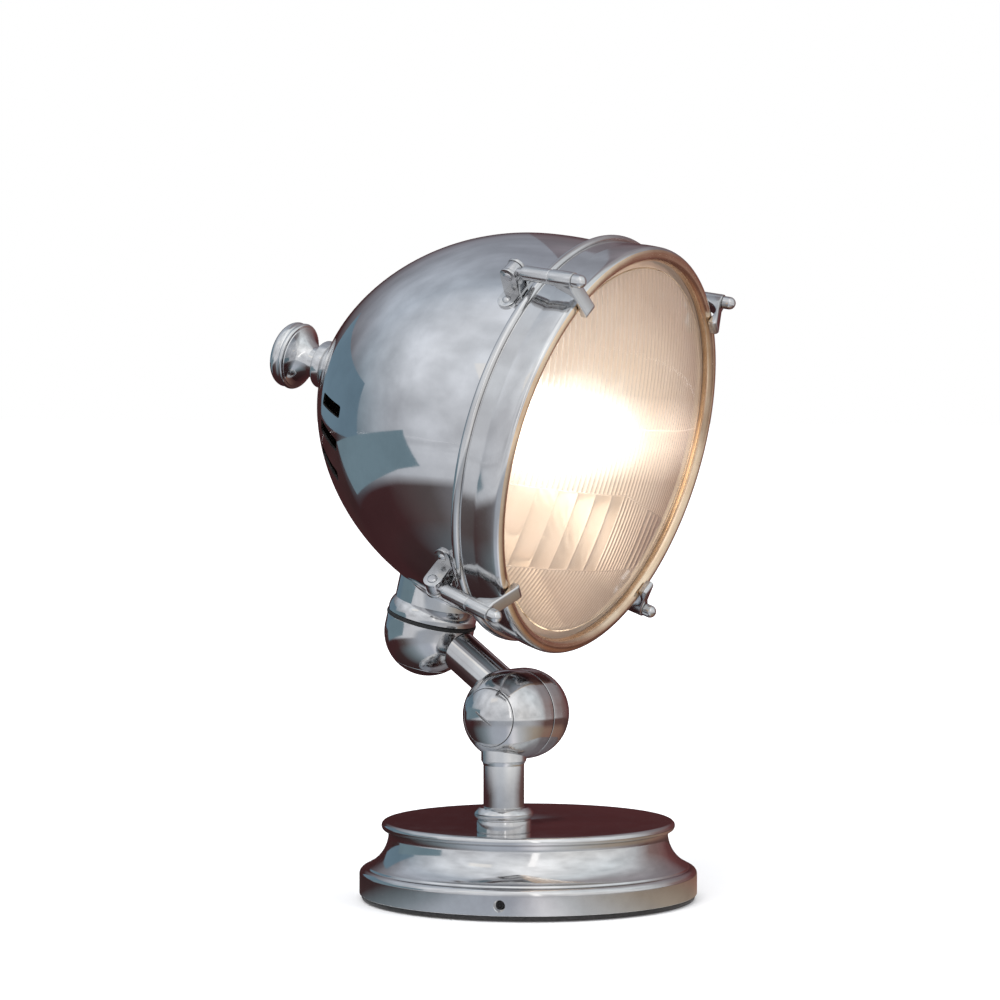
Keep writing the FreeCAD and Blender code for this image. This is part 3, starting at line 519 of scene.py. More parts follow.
def painted_glow_ribs(at, middle_x, middle_y, reach):
    """The back of the glass with a painted glow: white at a given spot, amber towards the rim."""
    made, tree, shader = shader_of("painted_glow_glass", {"Transmission Weight": 0.6, "IOR": 1.5, "Roughness": 0.12})
    coordinate = node(tree, "TexCoord")
    across = along(tree, coordinate.outputs["Object"], at, (1, 0, 0), middle_x)
    up = along(tree, coordinate.outputs["Object"], at, (0, 1, 0), middle_y)
    flat = math_of(tree, "MULTIPLY", across, 0.72)
    steep = math_of(tree, "MULTIPLY", up, 1.45)
    squares = math_of(tree, "MULTIPLY_ADD", flat, flat, math_of(tree, "MULTIPLY", steep, steep))
    far = spread(tree, math_of(tree, "SQRT", squares, 0.0), 0.0, reach, 0.0, 1.0)
    mixed = add(tree, far, noise_of(tree, 22.0, 4.0, 0.6), 0.22)
    # Painted light: the glow's colour, white at the spot and amber farther out. It is also the glass's base
    # colour.
    tone = ramp(tree, mixed, [
        (0.2, (1.0, 0.97, 0.92)), (0.36, (0.97, 0.90, 0.82)), (0.56, (0.86, 0.73, 0.62)),
        (0.8, (0.78, 0.66, 0.57)), (1.0, (0.66, 0.54, 0.46))])
    tree.links.new(tone, shader.inputs["Base Color"])
    tree.links.new(tone, shader.inputs["Emission Color"])
    # Painted hot spot: the glow is strongest at the spot and weaker towards the rim.
    levels = ((0.2, 1.0), (0.34, 0.5), (0.48, 0.24), (1.0, 0.2))
    spot = ramp(tree, mixed, [(stop, (level,) * 3) for stop, level in levels])
    # Painted beam: a brighter band across the glass at the spot's height.
    beam = spread(tree, math_of(tree, "ABSOLUTE", up, 0.0), 6.0, 30.0, 0.5, 0.0)
    power = math_of(tree, "ADD", spot, beam)
    # Painted light and shade on the ribs: faces turned towards the glass's own X glow more, the others less.
    side = vector_math(tree, "DOT_PRODUCT", coordinate.outputs["Normal"],
                       (at.to_3x3() @ Vector((1, 0, 0))).normalized())
    ribs = spread(tree, side.outputs["Value"], -0.6, 0.6, 0.05, 1.8)
    strength = math_of(tree, "MULTIPLY", math_of(tree, "MULTIPLY", power, ribs), 1.2)
    tree.links.new(strength, shader.inputs["Emission Strength"])
    return made


def lamp_light():
    made, tree, shader = shader_of("lamp_light", {
        "Base Color": (1.0, 0.93, 0.8, 1), "Roughness": 0.4, "Emission Strength": 1.7})
    glow = noise_of(tree, 60.0, 2.0, 0.5)
    tree.links.new(ramp(tree, glow, [(0.3, (1.0, 0.90, 0.74)), (0.7, (1.0, 0.95, 0.85))]),
                   shader.inputs["Emission Color"])
    return made


GLASS = front_glass()
GLOW = lamp_light()


def place(piece, body, replaced):
    """A finished piece rides on its body and stands for a CAD node."""
    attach(piece, body)
    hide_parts(replaced)


def paint(piece, at, material, inside):
    """A second finish for the faces whose middle passes a test of its radius and place."""
    piece.data.materials.append(material)
    back = at.inverted()
    for face in piece.data.polygons:
        middle = back @ (face.center / MM)
        if inside(hypot(middle.x, middle.y), middle):
            face.material_index = 1


def band_at(turn, out=0.0):
    """Z points outward from the middle of the foot's band."""
    return rotation("Z", turn) @ move(out, 0, BAND_Z) @ rotation("Y", 90)


def add_part(whole, part, at):
    """Moves a part and adds it to the piece that it belongs to."""
    bmesh.ops.transform(part, matrix=at, verts=part.verts)
    join(whole, part)


# Foot

def base_cover():
    foot = (COVE_FOOT, COVE_FOOT_Z)
    top = (COVE_TOP, COVE_TOP_Z)
    shoulder = arc((BASE_R - SHOULDER, SHOULDER_Z), SHOULDER, 0, 90, 10)
    cove = bow(foot, top, -COVE_HOLLOW, 28)
    bead = arc((DISC_R - BEAD, DISC_TOP - BEAD), BEAD, -90, 90, 18)
    outline = [(BASE_R - WALL, PLATE), (BASE_R, PLATE)] + shoulder
    outline += [(COVE_FOOT + STEP / 2, COVE_FOOT_Z - STEP)] + cove
    outline += [(COVE_TOP, COVE_TOP_Z + DISC_NECK)] + bead + [(60, DISC_TOP), (0, DISC_TOP)]
    outline += [(0, DISC_TOP - WALL), (COVE_TOP - WALL, DISC_TOP - WALL), (COVE_TOP - WALL, COVE_TOP_Z)]
    outline += [(COVE_FOOT - WALL, COVE_FOOT_Z - WALL), (BASE_R - WALL, SHOULDER_Z - WALL / 2)]
    outline = soften(outline, 0.5)
    piece = finish_mesh("foot_cover", lathe_mesh(outline, 256), Matrix(), POLISHED)
    tools = []
    for k in range(3):
        hole = [(0, BASE_R - 8), (2.5, BASE_R - 8), (2.5, BASE_R - 1.9), (4.4, BASE_R + 0.3),
                (4.4, BASE_R + 2), (0, BASE_R + 2)]
        tools.append(cutter(lathe_mesh(hole, 40, False), band_at(BAND_SCREW + 120 * k)))
    tools.append(cutter(rod_mesh(5.5, BASE_R - 8, BASE_R + 2), band_at(GLAND)))
    combine(piece, tools)
    paint(piece, Matrix(), BAND_METAL,
          lambda radius, middle: PLATE + 0.2 < middle.z < SHOULDER_Z + 0.4 and radius > BASE_R - 0.6)
    place(piece, "base", "base_cover")


def base_fittings():
    edge = BASE_R - 0.5
    plate = lathe("foot_plate", [(60, 0.6), (edge - 1.4, 0.6), (edge, PLATE), (60, PLATE)], Matrix(),
                  DARK_STEEL_AND_SHADE, 200)
    place(plate, "base", "base_plate")
    pad = lathe("foot_pad", [(0, 0), (60, 0), (108, 0), (108, 2.2), (60, 2.2), (0, 2.2)], Matrix(), FELT, 160)
    place(pad, "base", "base_pad")
    screws = bmesh.new()
    for k in range(3):
        start = BASE_R - 6.0
        screw = [(0, start), (2.45, start), (2.45, start + 3.0), (1.5, start + 3.0), (1.4, start + 1.4),
                 (0, start + 1.0)]
        add_part(screws, lathe_mesh(soften(screw, 0.3), 24, False), band_at(BAND_SCREW + 120 * k))
    piece = finish_mesh("foot_screws", screws, Matrix(), DARK_STEEL_AND_SHADE)
    place(piece, "base", "cover_screws")
    inside = WALL + 1.0
    ring = [(3.3, -inside), (5.45, -inside), (5.45, 0.4), (8.0, 0.4), (8.0, 1.8), (6.8, 3.0), (3.3, 3.0)]
    bush = lathe("cord_bush", ring, band_at(GLAND, BASE_R), PLASTIC, 48)
    place(bush, "base", "cord_gland")
    top = DISC_TOP + BUSH_FOOT_H + BUSH_RING_H
    low = DISC_TOP + BUSH_FOOT_H
    bush = [(14.1, DISC_TOP), (BUSH_FOOT - 0.4, DISC_TOP), (BUSH_FOOT - 0.4, DISC_TOP + 0.3),
            (BUSH_FOOT, DISC_TOP + 0.6), (BUSH_FOOT, low - 1.4), (BUSH_FOOT - 0.9, low - 0.9),
            (BUSH_FOOT - 0.9, low - 0.3), (BUSH_FOOT, low)]
    bush += [(BUSH_RING - 0.5, low + 1.2), (BUSH_RING, low + 2.4), (BUSH_RING, low + 3.4),
             (BUSH_RING - 0.8, low + 5.0), (BUSH_RING - 2.2, low + 6.4), (17.0, top), (14.6, top),
             (14.1, top - 0.5)]
    place(lathe("post_foot", bush, POST_AT, POLISHED, 128, 0.3), "base", "post_bush")


def join(bm, part):
    """Adds the faces of one bmesh to another."""
    mesh = new_mesh("part", part)
    bm.from_mesh(mesh)
    bpy.data.meshes.remove(mesh)


# Ball knuckles

def half_ball(gap):
    """Outline of a half ball, from its joint face to the recess for the bolt's head."""
    level = STRAIGHT + sqrt(BALL ** 2 - HEAD_R ** 2)
    stop = degrees(acos((HEAD_R + 0.25) / BALL))
    outline = [(0, gap), (BALL - 0.15, gap), (BALL, gap + 0.2), (BALL, STRAIGHT * 0.5)]
    outline += arc((0, STRAIGHT), BALL, 0, stop, 26)
    outline += [(HEAD_R + 0.25, level - HEAD_SEAT + 0.4), (0, level - HEAD_SEAT + 0.4)]
    return outline


def domed_head(name, at, slot_turn=None):
    """Domed head that completes the ball, with a screwdriver slot if it has a turn."""
    level = STRAIGHT + sqrt(BALL ** 2 - HEAD_R ** 2)
    start = degrees(acos((HEAD_R - 0.1) / BALL))
    outline = [(0, level - HEAD_SEAT + 0.45), (HEAD_R - 0.1, level - HEAD_SEAT + 0.45)]
    outline += arc((0, STRAIGHT), BALL, start, 90, 18)
    piece = lathe(name, outline, at, POLISHED, 128, 0.5)
    if slot_turn is not None:
        bm = bmesh.new()
        bmesh.ops.create_cube(bm, size=1.0)
        shape = Matrix.Diagonal((15.0, 1.4, 5.0, 1.0))
        bmesh.ops.transform(bm, matrix=move(0, 0, STRAIGHT + BALL + 0.1) @ shape, verts=bm.verts)
        combine(piece, [cutter(bm, at @ rotation("Z", slot_turn))])
        bevel(piece, 0.15, 2, 50)
    return piece


def knuckle():
    post = lathe("knuckle_post", half_ball(SEAM / 2), POST_SIDE, POLISHED, 160, 0.15)
    boss_low = TILT_Z - BALL - SOCKET_DROP
    boss = lathe_mesh([(TUBE - 0.5, boss_low), (TUBE + 0.15, boss_low), (TUBE + 0.25, boss_low + 0.9),
                       (TUBE + 0.6, boss_low + 1.8), (SOCKET, boss_low + 3.2), (SOCKET, TILT_Z - BALL * 0.6),
                       (TUBE - 0.5, TILT_Z - BALL * 0.6)], 96)
    combine(post, [cutter(boss, POST_AT)], "UNION")
    place(post, "column", "knuckle_post_half")
    arm = lathe("knuckle_arm", half_ball(SEAM / 2), ARM_SIDE, POLISHED, 160, 0.15)
    place(arm, "arm", "knuckle_arm_half")
    place(domed_head("tilt_screw", POST_SIDE, 55.0), "column", "tilt_bolt")
    place(domed_head("tilt_end_cap", ARM_SIDE), "column", "tilt_cap")
    low, high = 0.06 - SEAM / 2, SEAM / 2
    ring = [(BALL - 8, low), (BALL - 0.9, low), (BALL - 0.9, high), (BALL - 8, high)]
    washer = lathe("tilt_friction_ring", ring, POST_SIDE, FIBRE, 128, 0.1)
    place(washer, "column", "tilt_washer")


def tube(name, low, high, at):
    wall = TUBE - 3
    outline = [(wall, low), (TUBE, low), (TUBE, (low + high) / 2), (TUBE, high), (wall, high)]
    return lathe(name, outline, at, TUBE_METAL, 128, 0)


def tubes():
    post = tube("post", DISC_TOP + 5.5, TILT_Z - BALL * 0.64, POST_AT)
    place(post, "column", "post_tube")
    at = ARM_AT @ move(OFFSET, 0, 0) @ rotation("X", -90)
    arm = tube("arm", sqrt(BALL ** 2 - TUBE ** 2) - 2.0, ARM - 20.0, at)
    place(arm, "arm", "arm_tube")


# Upper joint

def shell_centres():
    arcs = []
    at, radius = SHELL_START
    for size, first, last in SHELL_ARCS:
        first, last = radians(first), radians(last)
        centre = (radius - size * cos(first), at - size * sin(first))
        arcs.append((centre, size, last))
        radius = centre[0] + size * cos(last)
        at = centre[1] + size * sin(last)
    return arcs


ARCS = shell_centres()


def shell_turn(at, offset=0.0):
    for centre, size, last in ARCS:
        turn = asin(min((at - centre[1]) / (size + offset), 1))
        if turn <= last:
            return turn
    return turn


def shell_point(turn, offset=0.0):
    for centre, size, last in ARCS:
        if turn <= last:
            break
    return (centre[0] + (size + offset) * cos(turn), centre[1] + (size + offset) * sin(turn))


def shell_radius(at, offset=0.0):
    return shell_point(shell_turn(at, offset), offset)[0]


def shell_outline(offset, front, hole, count=110):
    start = shell_turn(front, offset)
    centre, size = ARCS[-1][:2]
    end = acos((hole - centre[0]) / (size + offset))
    return [shell_point(start + (end - start) * k / count, offset) for k in range(count + 1)]


def neck():
    """Upper half of the joint: a shoulder, a short tube and a fillet to the shell."""
    face = GASKET / 2
    rise = face + NECK_SHOULDER
    outline = [(0, face), (BALL - 0.5, face), (BALL, face + 0.5), (BALL, face + 1.5)]
    outline += bow((BALL, face + 1.5), (NECK, rise), 0.9, 10)[1:]
    bm = lathe_mesh(outline, 160, False)
    bm.verts.ensure_lookup_table()
    ring = sorted((v for v in bm.verts if abs(v.co.z - rise) < 1e-4),
                  key=lambda v: atan2(v.co.y, v.co.x))
    for step in range(9):
        swing = radians(82 * step / 8)
        extra, below = 3.2 * (1 - cos(swing)), 3.2 * (1 - sin(swing)) - 0.25
        made = []
        for vert in ring:
            angle = atan2(vert.co.y, vert.co.x)
            x, y = (NECK + extra) * cos(angle), (NECK + extra) * sin(angle)
            surface = TO_AXIS - sqrt(shell_radius(TO_LIP + y) ** 2 - x ** 2)
            made.append(bm.verts.new((x, y, surface - below)))
        skin(bm, ring, made)
        ring = made
    piece = finish_mesh("head_neck_cup", bm, TURNED_AT, POLISHED)
    place(piece, "head", "head_neck")
    lower = lathe("neck_cup", half_ball(GASKET / 2), LOWER_SIDE, POLISHED, 160, 0.4)
    place(lower, "arm", "neck_ball")
    edge = BALL + 0.6
    gasket = [(BALL - 6, -face), (edge - 0.5, -face), (edge - 0.1, -face + 0.4), (edge, 0),
              (edge - 0.1, face - 0.4), (edge - 0.5, face), (BALL - 6, face)]
    place(lathe("neck_gasket", gasket, YAW_AT, FIBRE, 160, 0.1), "arm", "yaw_gasket")
    place(domed_head("neck_screw", LOWER_SIDE, 20.0), "arm", "yaw_bolt")


# Shell and front ring

def shell():
    front = SHELL_FRONT - 2.0
    outer = shell_outline(0, SHELL_FRONT, SHELL_HOLE)
    inner = shell_outline(-SHELL_WALL, front, SHELL_HOLE)
    outline = [(138.4, front), (138.4, SHELL_FRONT)] + outer + list(reversed(inner))
    piece = finish_mesh("shell", lathe_mesh(outline, 288), HEAD_AT, SHELL_METAL)
    half = VENT_W / 2
    corners = [(-half, VENT[0]), (half, VENT[0]), (half, VENT[1]), (-half, VENT[1])]
    tools = []
    for side in (1, -1):
        for k in range(3):
            at = HEAD_AT @ rotation("Z", 90 - side * (VENT_FIRST + VENT_PITCH * k))
            tools.append(cutter(prism(soften(corners, 2.0, True, steps=5), 10, 150), at))
    combine(piece, tools)
    # Painted shade: the inside of the shell gets the dark steel finish, so that the vents show black.
    paint(piece, HEAD_AT, DARK_STEEL_AND_SHADE,
          lambda radius, middle: middle.z > SHELL_FRONT and radius < shell_radius(middle.z, -SHELL_WALL / 2))
    place(piece, "head", "head_shell")


def bezel():
    opening = LIP_R - 2 * LIP
    lip = arc((LIP_R - LIP, 0), LIP, 180, 360, 28)
    body = bow((LIP_R, 0), (WAIST, 17.0), 0.35, 8)[1:]
    bead_centre = (BEZEL_BEAD_R - BEZEL_BEAD, BEZEL_BEAD_AT)
    foot = BEZEL_BEAD_AT - BEZEL_BEAD * 0.95
    outline = [(opening, GLASS_AT)] + lip + body
    outline += [(WAIST, foot - 0.9), (WAIST - 0.8, foot - 0.5), (WAIST - 0.6, foot + 0.1)]
    outline += arc(bead_centre, BEZEL_BEAD, -62, 90, 16)
    outline += [(139.0, BEZEL_BEAD_AT + BEZEL_BEAD - 0.4), (139.0, 24.5), (137.5, 24.5), (137.5, GLASS_AT)]
    piece = lathe("front_ring", outline, HEAD_AT, POLISHED, 288, 0.25)
    # Painted reflection: the inner face of the lip takes the amber tint of the glass's glow.
    paint(piece, HEAD_AT, LIP_PAINTED_GLOW, lambda radius, middle: middle.z < 3.0 and radius < LIP_R - LIP * 0.3)
    place(piece, "head", "bezel")


# Lens. Its own X and Y are turned a little from the head's.

LENS_AT = HEAD_AT @ rotation("Z", LENS_TURN)
LENS_RIM = LIP_R - 2 * LIP
LENS_CENTRE = GLASS_AT + sqrt(LENS_SPHERE ** 2 - LENS_RIM ** 2)
LINE_TOP, LINE_MIDDLE, LINE_LOW = 20.0, -26.0, -81.0
RIB = 5.25


def cut_line(x):
    """The line between the middle and the lower pattern drops towards one side."""
    return LINE_MIDDLE - max(0.0, -(x + 8.0)) * tan(radians(12.0))


def flute(x, pitch, depth):
    """Depth of a round-backed rib."""
    t = (x / pitch) % 1.0
    return depth * (1 - sqrt(max(0.0, 1 - (2 * t - 1) ** 2 * 0.94)))


def relief(x, y):
    """How far the back of the glass is hollowed at a point, in millimetres."""
    if y > LINE_TOP:
        return flute(x, RIB, 1.1)
    if y > cut_line(x):
        return flute(x, RIB, 0.9)
    if y > LINE_LOW:
        if x > -4.0:
            return flute(x + 8.0, 21.0, 0.7)
        if x > -48.0:
            return flute(x, RIB, 1.0)
        return flute(x, 2 * RIB, 1.1)
    return flute(x + 0.35 * (y - LINE_LOW), RIB * 0.8, 0.8)


def dome_place(x, y, sphere):
    return LENS_CENTRE - sqrt(sphere ** 2 - x ** 2 - y ** 2)


def rib_rows(half, lines):
    """Points up one column, with more of them beside the lines between the patterns."""
    stops = [half]
    for line in lines:
        stops.append(max(min(line + 0.5, half - 0.01), -half + 0.02))
        stops.append(max(min(line - 0.5, half - 0.02), -half + 0.01))
    stops.append(-half)
    rows = []
    for high, low, count in zip(stops, stops[1:], (26, 4, 12, 4, 14, 4, 16)):
        rows += [high + (low - high) * k / count for k in range(count)]
    return rows + [-half]


def ribbed_back(inner):
    """The ribs, with a small ridge on each line between two patterns."""
    rim, ridge, fade_width = 126.6, 1.9, 1.2
    columns = int(2 * rim / RIB * 8)
    grid = bmesh.new()
    made = []
    for i in range(columns + 1):
        x = -rim + 2 * rim * i / columns
        lines = (LINE_TOP, cut_line(x), LINE_LOW)
        column = []
        for y in rib_rows(sqrt(max(rim ** 2 - x ** 2, 0.04)), lines):
            fade = min(1.0, max(0.0, (rim - hypot(x, y)) / fade_width))
            on_line = any(abs(y - line) < 0.3 for line in lines)
            depth = ridge if on_line else relief(x, y)
            column.append(grid.verts.new((x, y, dome_place(x, y, inner) - depth * fade)))
        made.append(column)
    for left, right in zip(made, made[1:]):
        for k in range(len(left) - 1):
            grid.faces.new((left[k], left[k + 1], right[k + 1], right[k]))
    return grid


def lens():
    """Domed glass: smooth in front, ribbed in bands behind, with a plain flat rim."""
    outline = [(LENS_RIM * k / 40, dome_place(LENS_RIM * k / 40, 0, LENS_SPHERE)) for k in range(41)]
    outline += [(LENS_R - 0.4, GLASS_AT), (LENS_R, GLASS_AT + 0.4), (LENS_R, GLASS_AT + LENS_EDGE)]
    inner = LENS_SPHERE - LENS_THICK
    inner_rim = sqrt(inner ** 2 - (LENS_CENTRE - GLASS_AT - LENS_EDGE) ** 2)
    outline += [(inner_rim, GLASS_AT + LENS_EDGE)]
    outline += [(r, dome_place(r, 0, inner)) for r in (131.0, 129.0, 127.5)]
    face = lathe_mesh(outline, 240, False)
    join(face, ribbed_back(inner))
    piece = finish_mesh("front_glass", face, LENS_AT, GLASS, 40)
    # The back and the rim of the glass get the painted glow.
    paint(piece, LENS_AT, painted_glow_ribs(LENS_AT, 80.0, 13.0, 165.0), lambda radius, middle:
          radius > LENS_RIM - 0.5 or middle.z > dome_place(middle.x, middle.y, LENS_SPHERE) + 1.5)
    place(piece, "head", "lens_glass")


def inside():
    """What shows through the glass: the bright dish and the lit lamp."""
    hole, edge, depth, at = 21.0, 129.0, 90.0, 11.0
    dish = []
    for k in range(49):
        r = edge + (hole - edge) * k / 48
        dish.append((r, at + depth * (1 - (r / edge) ** 2)))
    back = [(r + 1.0, z + 0.9) for r, z in reversed(dish)]
    outline = dish + back + [(LENS_R - 0.6, at + 0.9), (LENS_R - 0.6, at - 1.5)]
    place(lathe("dish", outline, HEAD_AT, MIRROR, 200, 0), "head", "reflector")
    globe = arc((0, 75.0), 30.0, -90, 0, 20)
    globe += bow((30.0, 75.0), (13.0, 108.0), 2.2, 14)[1:] + [(13.0, 111.9), (0, 111.9)]
    place(lathe("lamp_globe", globe, HEAD_AT, GLOW, 96, 0), "head", "bulb_glass")


# Rear collar and knob

def rear():
    foot, ring = COLLAR
    start, back = COLLAR_AT
    collar = [(6.0, 218.0), (foot, 216.0), (foot, start - 1.5)]
    collar += arc((foot - 1.5, start - 1.5), 1.5, 20, 90, 5)
    collar += [(ring - 1.1, start), (ring - 1.1, start + 1.0), (ring, start + 1.9)]
    collar += arc((ring - 2.0, back - 2.0), 2.0, 0, 90, 8) + [(6.0, back), (6.0, 219.0)]
    place(lathe("knob_collar", collar, HEAD_AT, POLISHED, 128, 0.15), "head", "rear_collar")
    front = back + 0.4
    neck_end = (11.2, front + 5.6)
    flare = (21.6, 256.0)
    knob = [(0, front), (10.7, front), (11.2, front + 0.5)] + bow(neck_end, flare, -1.9, 18)
    knob += [(21.7, 256.6)] + arc((22.0, 258.6), 2.0, -60, 70, 9) + [(23.0, 260.9), (23.3, 261.5)]
    knob += arc((17.6, 263.4), 6.1, 8, 88, 16) + [(17.4, 269.0), (17.0, 268.9)]
    knob += dome(16.6, 271.0, 2.1, 14)[1:]
    place(lathe("switch_grip", knob, HEAD_AT, POLISHED, 144, 0.2), "knob", "switch_knob")


# Clamps

def clamp_frame(k):
    return HEAD_AT @ rotation("Z", -(CLAMP_FIRST + 90 * k))


def bolt_frame(k):
    """Z runs forward along the bolt from its hinge pin, and Y points in to the head's axis."""
    return clamp_frame(k) @ move(0, PIN_H, PIN_AT) @ rotation("X", BOLT_LEAN) @ rotation("X", 180)


def on_bolt(distance):
    lean = radians(BOLT_LEAN)
    return (PIN_H + distance * sin(lean), PIN_AT - distance * cos(lean))


def strap():
    """The foot of a bracket: a flat link shape, bent to the shell."""
    bm = bmesh.new()
    reach = 18.5 - EAR_R
    outline = arc((reach, 0), EAR_R, -90, 90, 14) + arc((-reach, 0), EAR_R, 90, 270, 14)
    levels = [(0.0, 0.0), (1.5, 0.0), (1.85, -0.15), (2.0, -0.5)]
    rings = []
    for height, grow in levels:
        scales = [1 + grow / hypot(x, s) for x, s in outline]
        rings.append([(x * scale, s * scale, height) for (x, s), scale in zip(outline, scales)])
    rings += [[(x, s * factor, top) for x, s, top in rings[-1]] for factor in (0.66, 0.33)]
    made = []
    for ring in rings:
        line = []
        for x, s, height in ring:
            turn = shell_turn(PIN_AT + s)
            radius, at = shell_point(turn, height)
            angle = x / shell_radius(PIN_AT)
            line.append(bm.verts.new((radius * sin(angle), radius * cos(angle), at)))
        made.append(line)
    count = len(outline)
    for low, high in zip(made, made[1:]):
        skin(bm, low, high)
    bm.faces.new(list(reversed(made[0])))
    half = count // 2
    top = made[-1]
    for j in range(half - 1):
        a, b = top[j], top[j + 1]
        c, d = top[count - 2 - j], top[count - 1 - j]
        if len({a, b, c, d}) == 4:
            bm.faces.new((a, b, c, d))
    return bm


def ear(side):
    base = shell_radius(PIN_AT) + 0.4
    outline = [(base, PIN_AT - EAR_R)] + arc((PIN_H, PIN_AT), EAR_R, -90, 90, 18) + [(base, PIN_AT + EAR_R)]
    inner = side * EAR_GAP / 2
    outer = side * (EAR_GAP / 2 + EAR)
    return prism(outline, min(inner, outer), max(inner, outer))


def brackets():
    whole = bmesh.new()
    for k in range(4):
        for part in (strap(), ear(1), ear(-1)):
            bmesh.ops.recalc_face_normals(part, faces=part.faces)
            if len(part.verts) < 60:
                bmesh.ops.bevel(part, geom=[e for e in part.edges if e.calc_face_angle(0) > 0.9], offset=0.45,
                                segments=2, affect="EDGES", profile=0.6)
            add_part(whole, part, clamp_frame(k))
    place(finish_mesh("clamp_hinges", whole, Matrix(), CLAMP_METAL), "head", "clamp_brackets")
    rivets = bmesh.new()
    pins = bmesh.new()
    foot = shell_radius(PIN_AT, 2.0) - 0.1
    for k in range(4):
        for side in (1, -1):
            points = [(0, foot - 1.0), (3.0, foot - 1.0), (3.0, foot)] + dome(3.0, foot + 1.75, 1.7, 8)[1:]
            at = HEAD_AT @ rotation("Z", -(CLAMP_FIRST + 90 * k) + side * 5.1) @ move(0, 0, PIN_AT)
            add_part(rivets, lathe_mesh(points, 32, False), at @ rotation("X", -90))
        end = EAR_GAP / 2 + EAR
        half = [(2.5, end), (3.6, end), (3.3, end + 0.7), (2.2, end + 1.3), (0, end + 1.3)]
        points = [(r, -z) for r, z in reversed(half)] + half
        at = clamp_frame(k) @ move(0, PIN_H, PIN_AT) @ rotation("Y", 90)
        add_part(pins, lathe_mesh(soften(points, 0.25), 32, False), at)
    place(finish_mesh("clamp_rivets", rivets, Matrix(), CLAMP_METAL), "head", "bracket_rivets")
    place(finish_mesh("clamp_pins", pins, Matrix(), STEEL), "head", "hinge_pins")


def clamp(k):
    number = k + 1
    body = f"clamp_{number}"
    at = bolt_frame(k)
    eye = [(2.56, -3.8), (5.6, -3.8), (5.6, 3.8), (2.56, 3.8)]
    bolt = lathe(f"bolt_{number}", eye, at @ rotation("Y", 90), STEEL, 48, 0.5)
    combine(bolt, [cutter(rod_mesh(3.0, 4.6, 53.5, 36, 0.3), at)], "UNION")
    place(bolt, body, f"swing_bolt_{number}")
    outline = [(3.02, 9.5), (4.5, 9.5), (4.5, 10.6), (5.0, 10.9), (5.0, 30.6), (4.7, 30.9), (4.7, 31.3),
               (5.0, 31.6), (5.0, 32.45), (3.02, 32.45)]
    sleeve = lathe(f"sleeve_{number}", outline, at, CLAMP_METAL, 48, 0.25)
    place(sleeve, body, f"clamp_sleeve_{number}")
    place(claw(k), body, f"clamp_claw_{number}")
    outline = [(0, 49.6), (4.2, 49.6), (4.5, 50.2), (4.5, 54.0)] + arc((0, 54.0), 4.5, 8, 90, 12)
    nut = lathe(f"nut_{number}", outline, at, POLISHED, 40, 0.2)
    place(nut, body, f"clamp_nut_{number}")


def claw(k):
    """Barrel on the bolt with a flat hook that reaches in over the lip."""
    rear_y, rear_z = on_bolt(34.5)
    face_y, face_z = on_bolt(49.5)
    lean = radians(BOLT_LEAN)
    below_y = face_y - 5.2 * cos(lean)
    below_z = face_z - 5.2 * sin(lean)
    toe = -LIP - 0.35
    outline = [(rear_y, rear_z), (face_y, face_z), (below_y, below_z)]
    outline += [(135.4, toe - 6.5), (133.4, toe - 5.8), (132.6, toe - 4.2), (132.7, toe - 1.0), (133.5, toe)]
    outline += [(LIP_R + out, toe + back) for out, back in ((1.2, 0.0), (3.4, 0.9), (5.2, 2.6), (7.0, 5.2))]
    outline += [(rear_y - 4.0, rear_z - 3.5)]
    bm = prism(outline, -5.5, 5.5)
    piece = finish_mesh(f"claw_{k + 1}", bm, clamp_frame(k), CLAMP_METAL)
    bevel(piece, 1.1, 3, 40)
    combine(piece, [cutter(rod_mesh(5.4, 32.5, 49.5, 48, 0.5), bolt_frame(k))], "UNION")
    return piece


# CAD nodes that keep their own shape and get a finish

KEPT = {
    "base_weight": IRON, "plate_screws": DARK_STEEL_AND_SHADE, "post_stem": DARK_STEEL_AND_SHADE, "swivel_washer": FIBRE,
    "swivel_nut": BRASS, "yaw_nut": BRASS, "neck_saddle": DARK_STEEL_AND_SHADE, "neck_ring_nut": BRASS,
    "lens_seal": RUBBER, "bezel_seal": RUBBER, "bulb_cap": BRASS, "lamp_holder": PLASTIC,
    "holder_stem": DARK_STEEL_AND_SHADE, "switch_body": PLASTIC, "switch_washer": DARK_STEEL_AND_SHADE, "knob_spindle": BRASS,
}


def dress_kept():
    for name, material in KEPT.items():
        slots = frame["nodes"][name].data.materials
        if len(slots):
            for k in range(len(slots)):
                slots[k] = material
        else:
            slots.append(material)


# Studio

def camera():
    azimuth = radians(CAMERA_AZIMUTH)
    ahead = Vector((-sin(azimuth), cos(azimuth), 0)) * cos(CAMERA_YAW)
    ahead += Vector((cos(azimuth), sin(azimuth), 0)) * sin(CAMERA_YAW)
    ahead = ahead * cos(CAMERA_PITCH) - Vector((0, 0, sin(CAMERA_PITCH)))
    data = bpy.data.cameras.new("camera")
    data.lens = CAMERA_LENS
    data.sensor_width = 36.0
    data.clip_end = 100.0
    made = new_object("camera", data)
    made.location = CAMERA_AT * MM
    made.rotation_euler = ahead.to_track_quat("-Z", "Y").to_euler()
    bpy.context.scene.camera = made


def seen_white(tree, plain_shader, white_shader):
    """White to camera, glossy and transmission rays, and plain to all others."""
    rays = node(tree, "LightPath").outputs
    either = math_of(tree, "MAXIMUM", rays["Is Camera Ray"], rays["Is Glossy Ray"])
    any_of = math_of(tree, "MAXIMUM", either, rays["Is Transmission Ray"])
    mix = node(tree, "MixShader")
    return feed_all(tree, mix, (any_of, plain_shader, white_shader)).outputs[0]


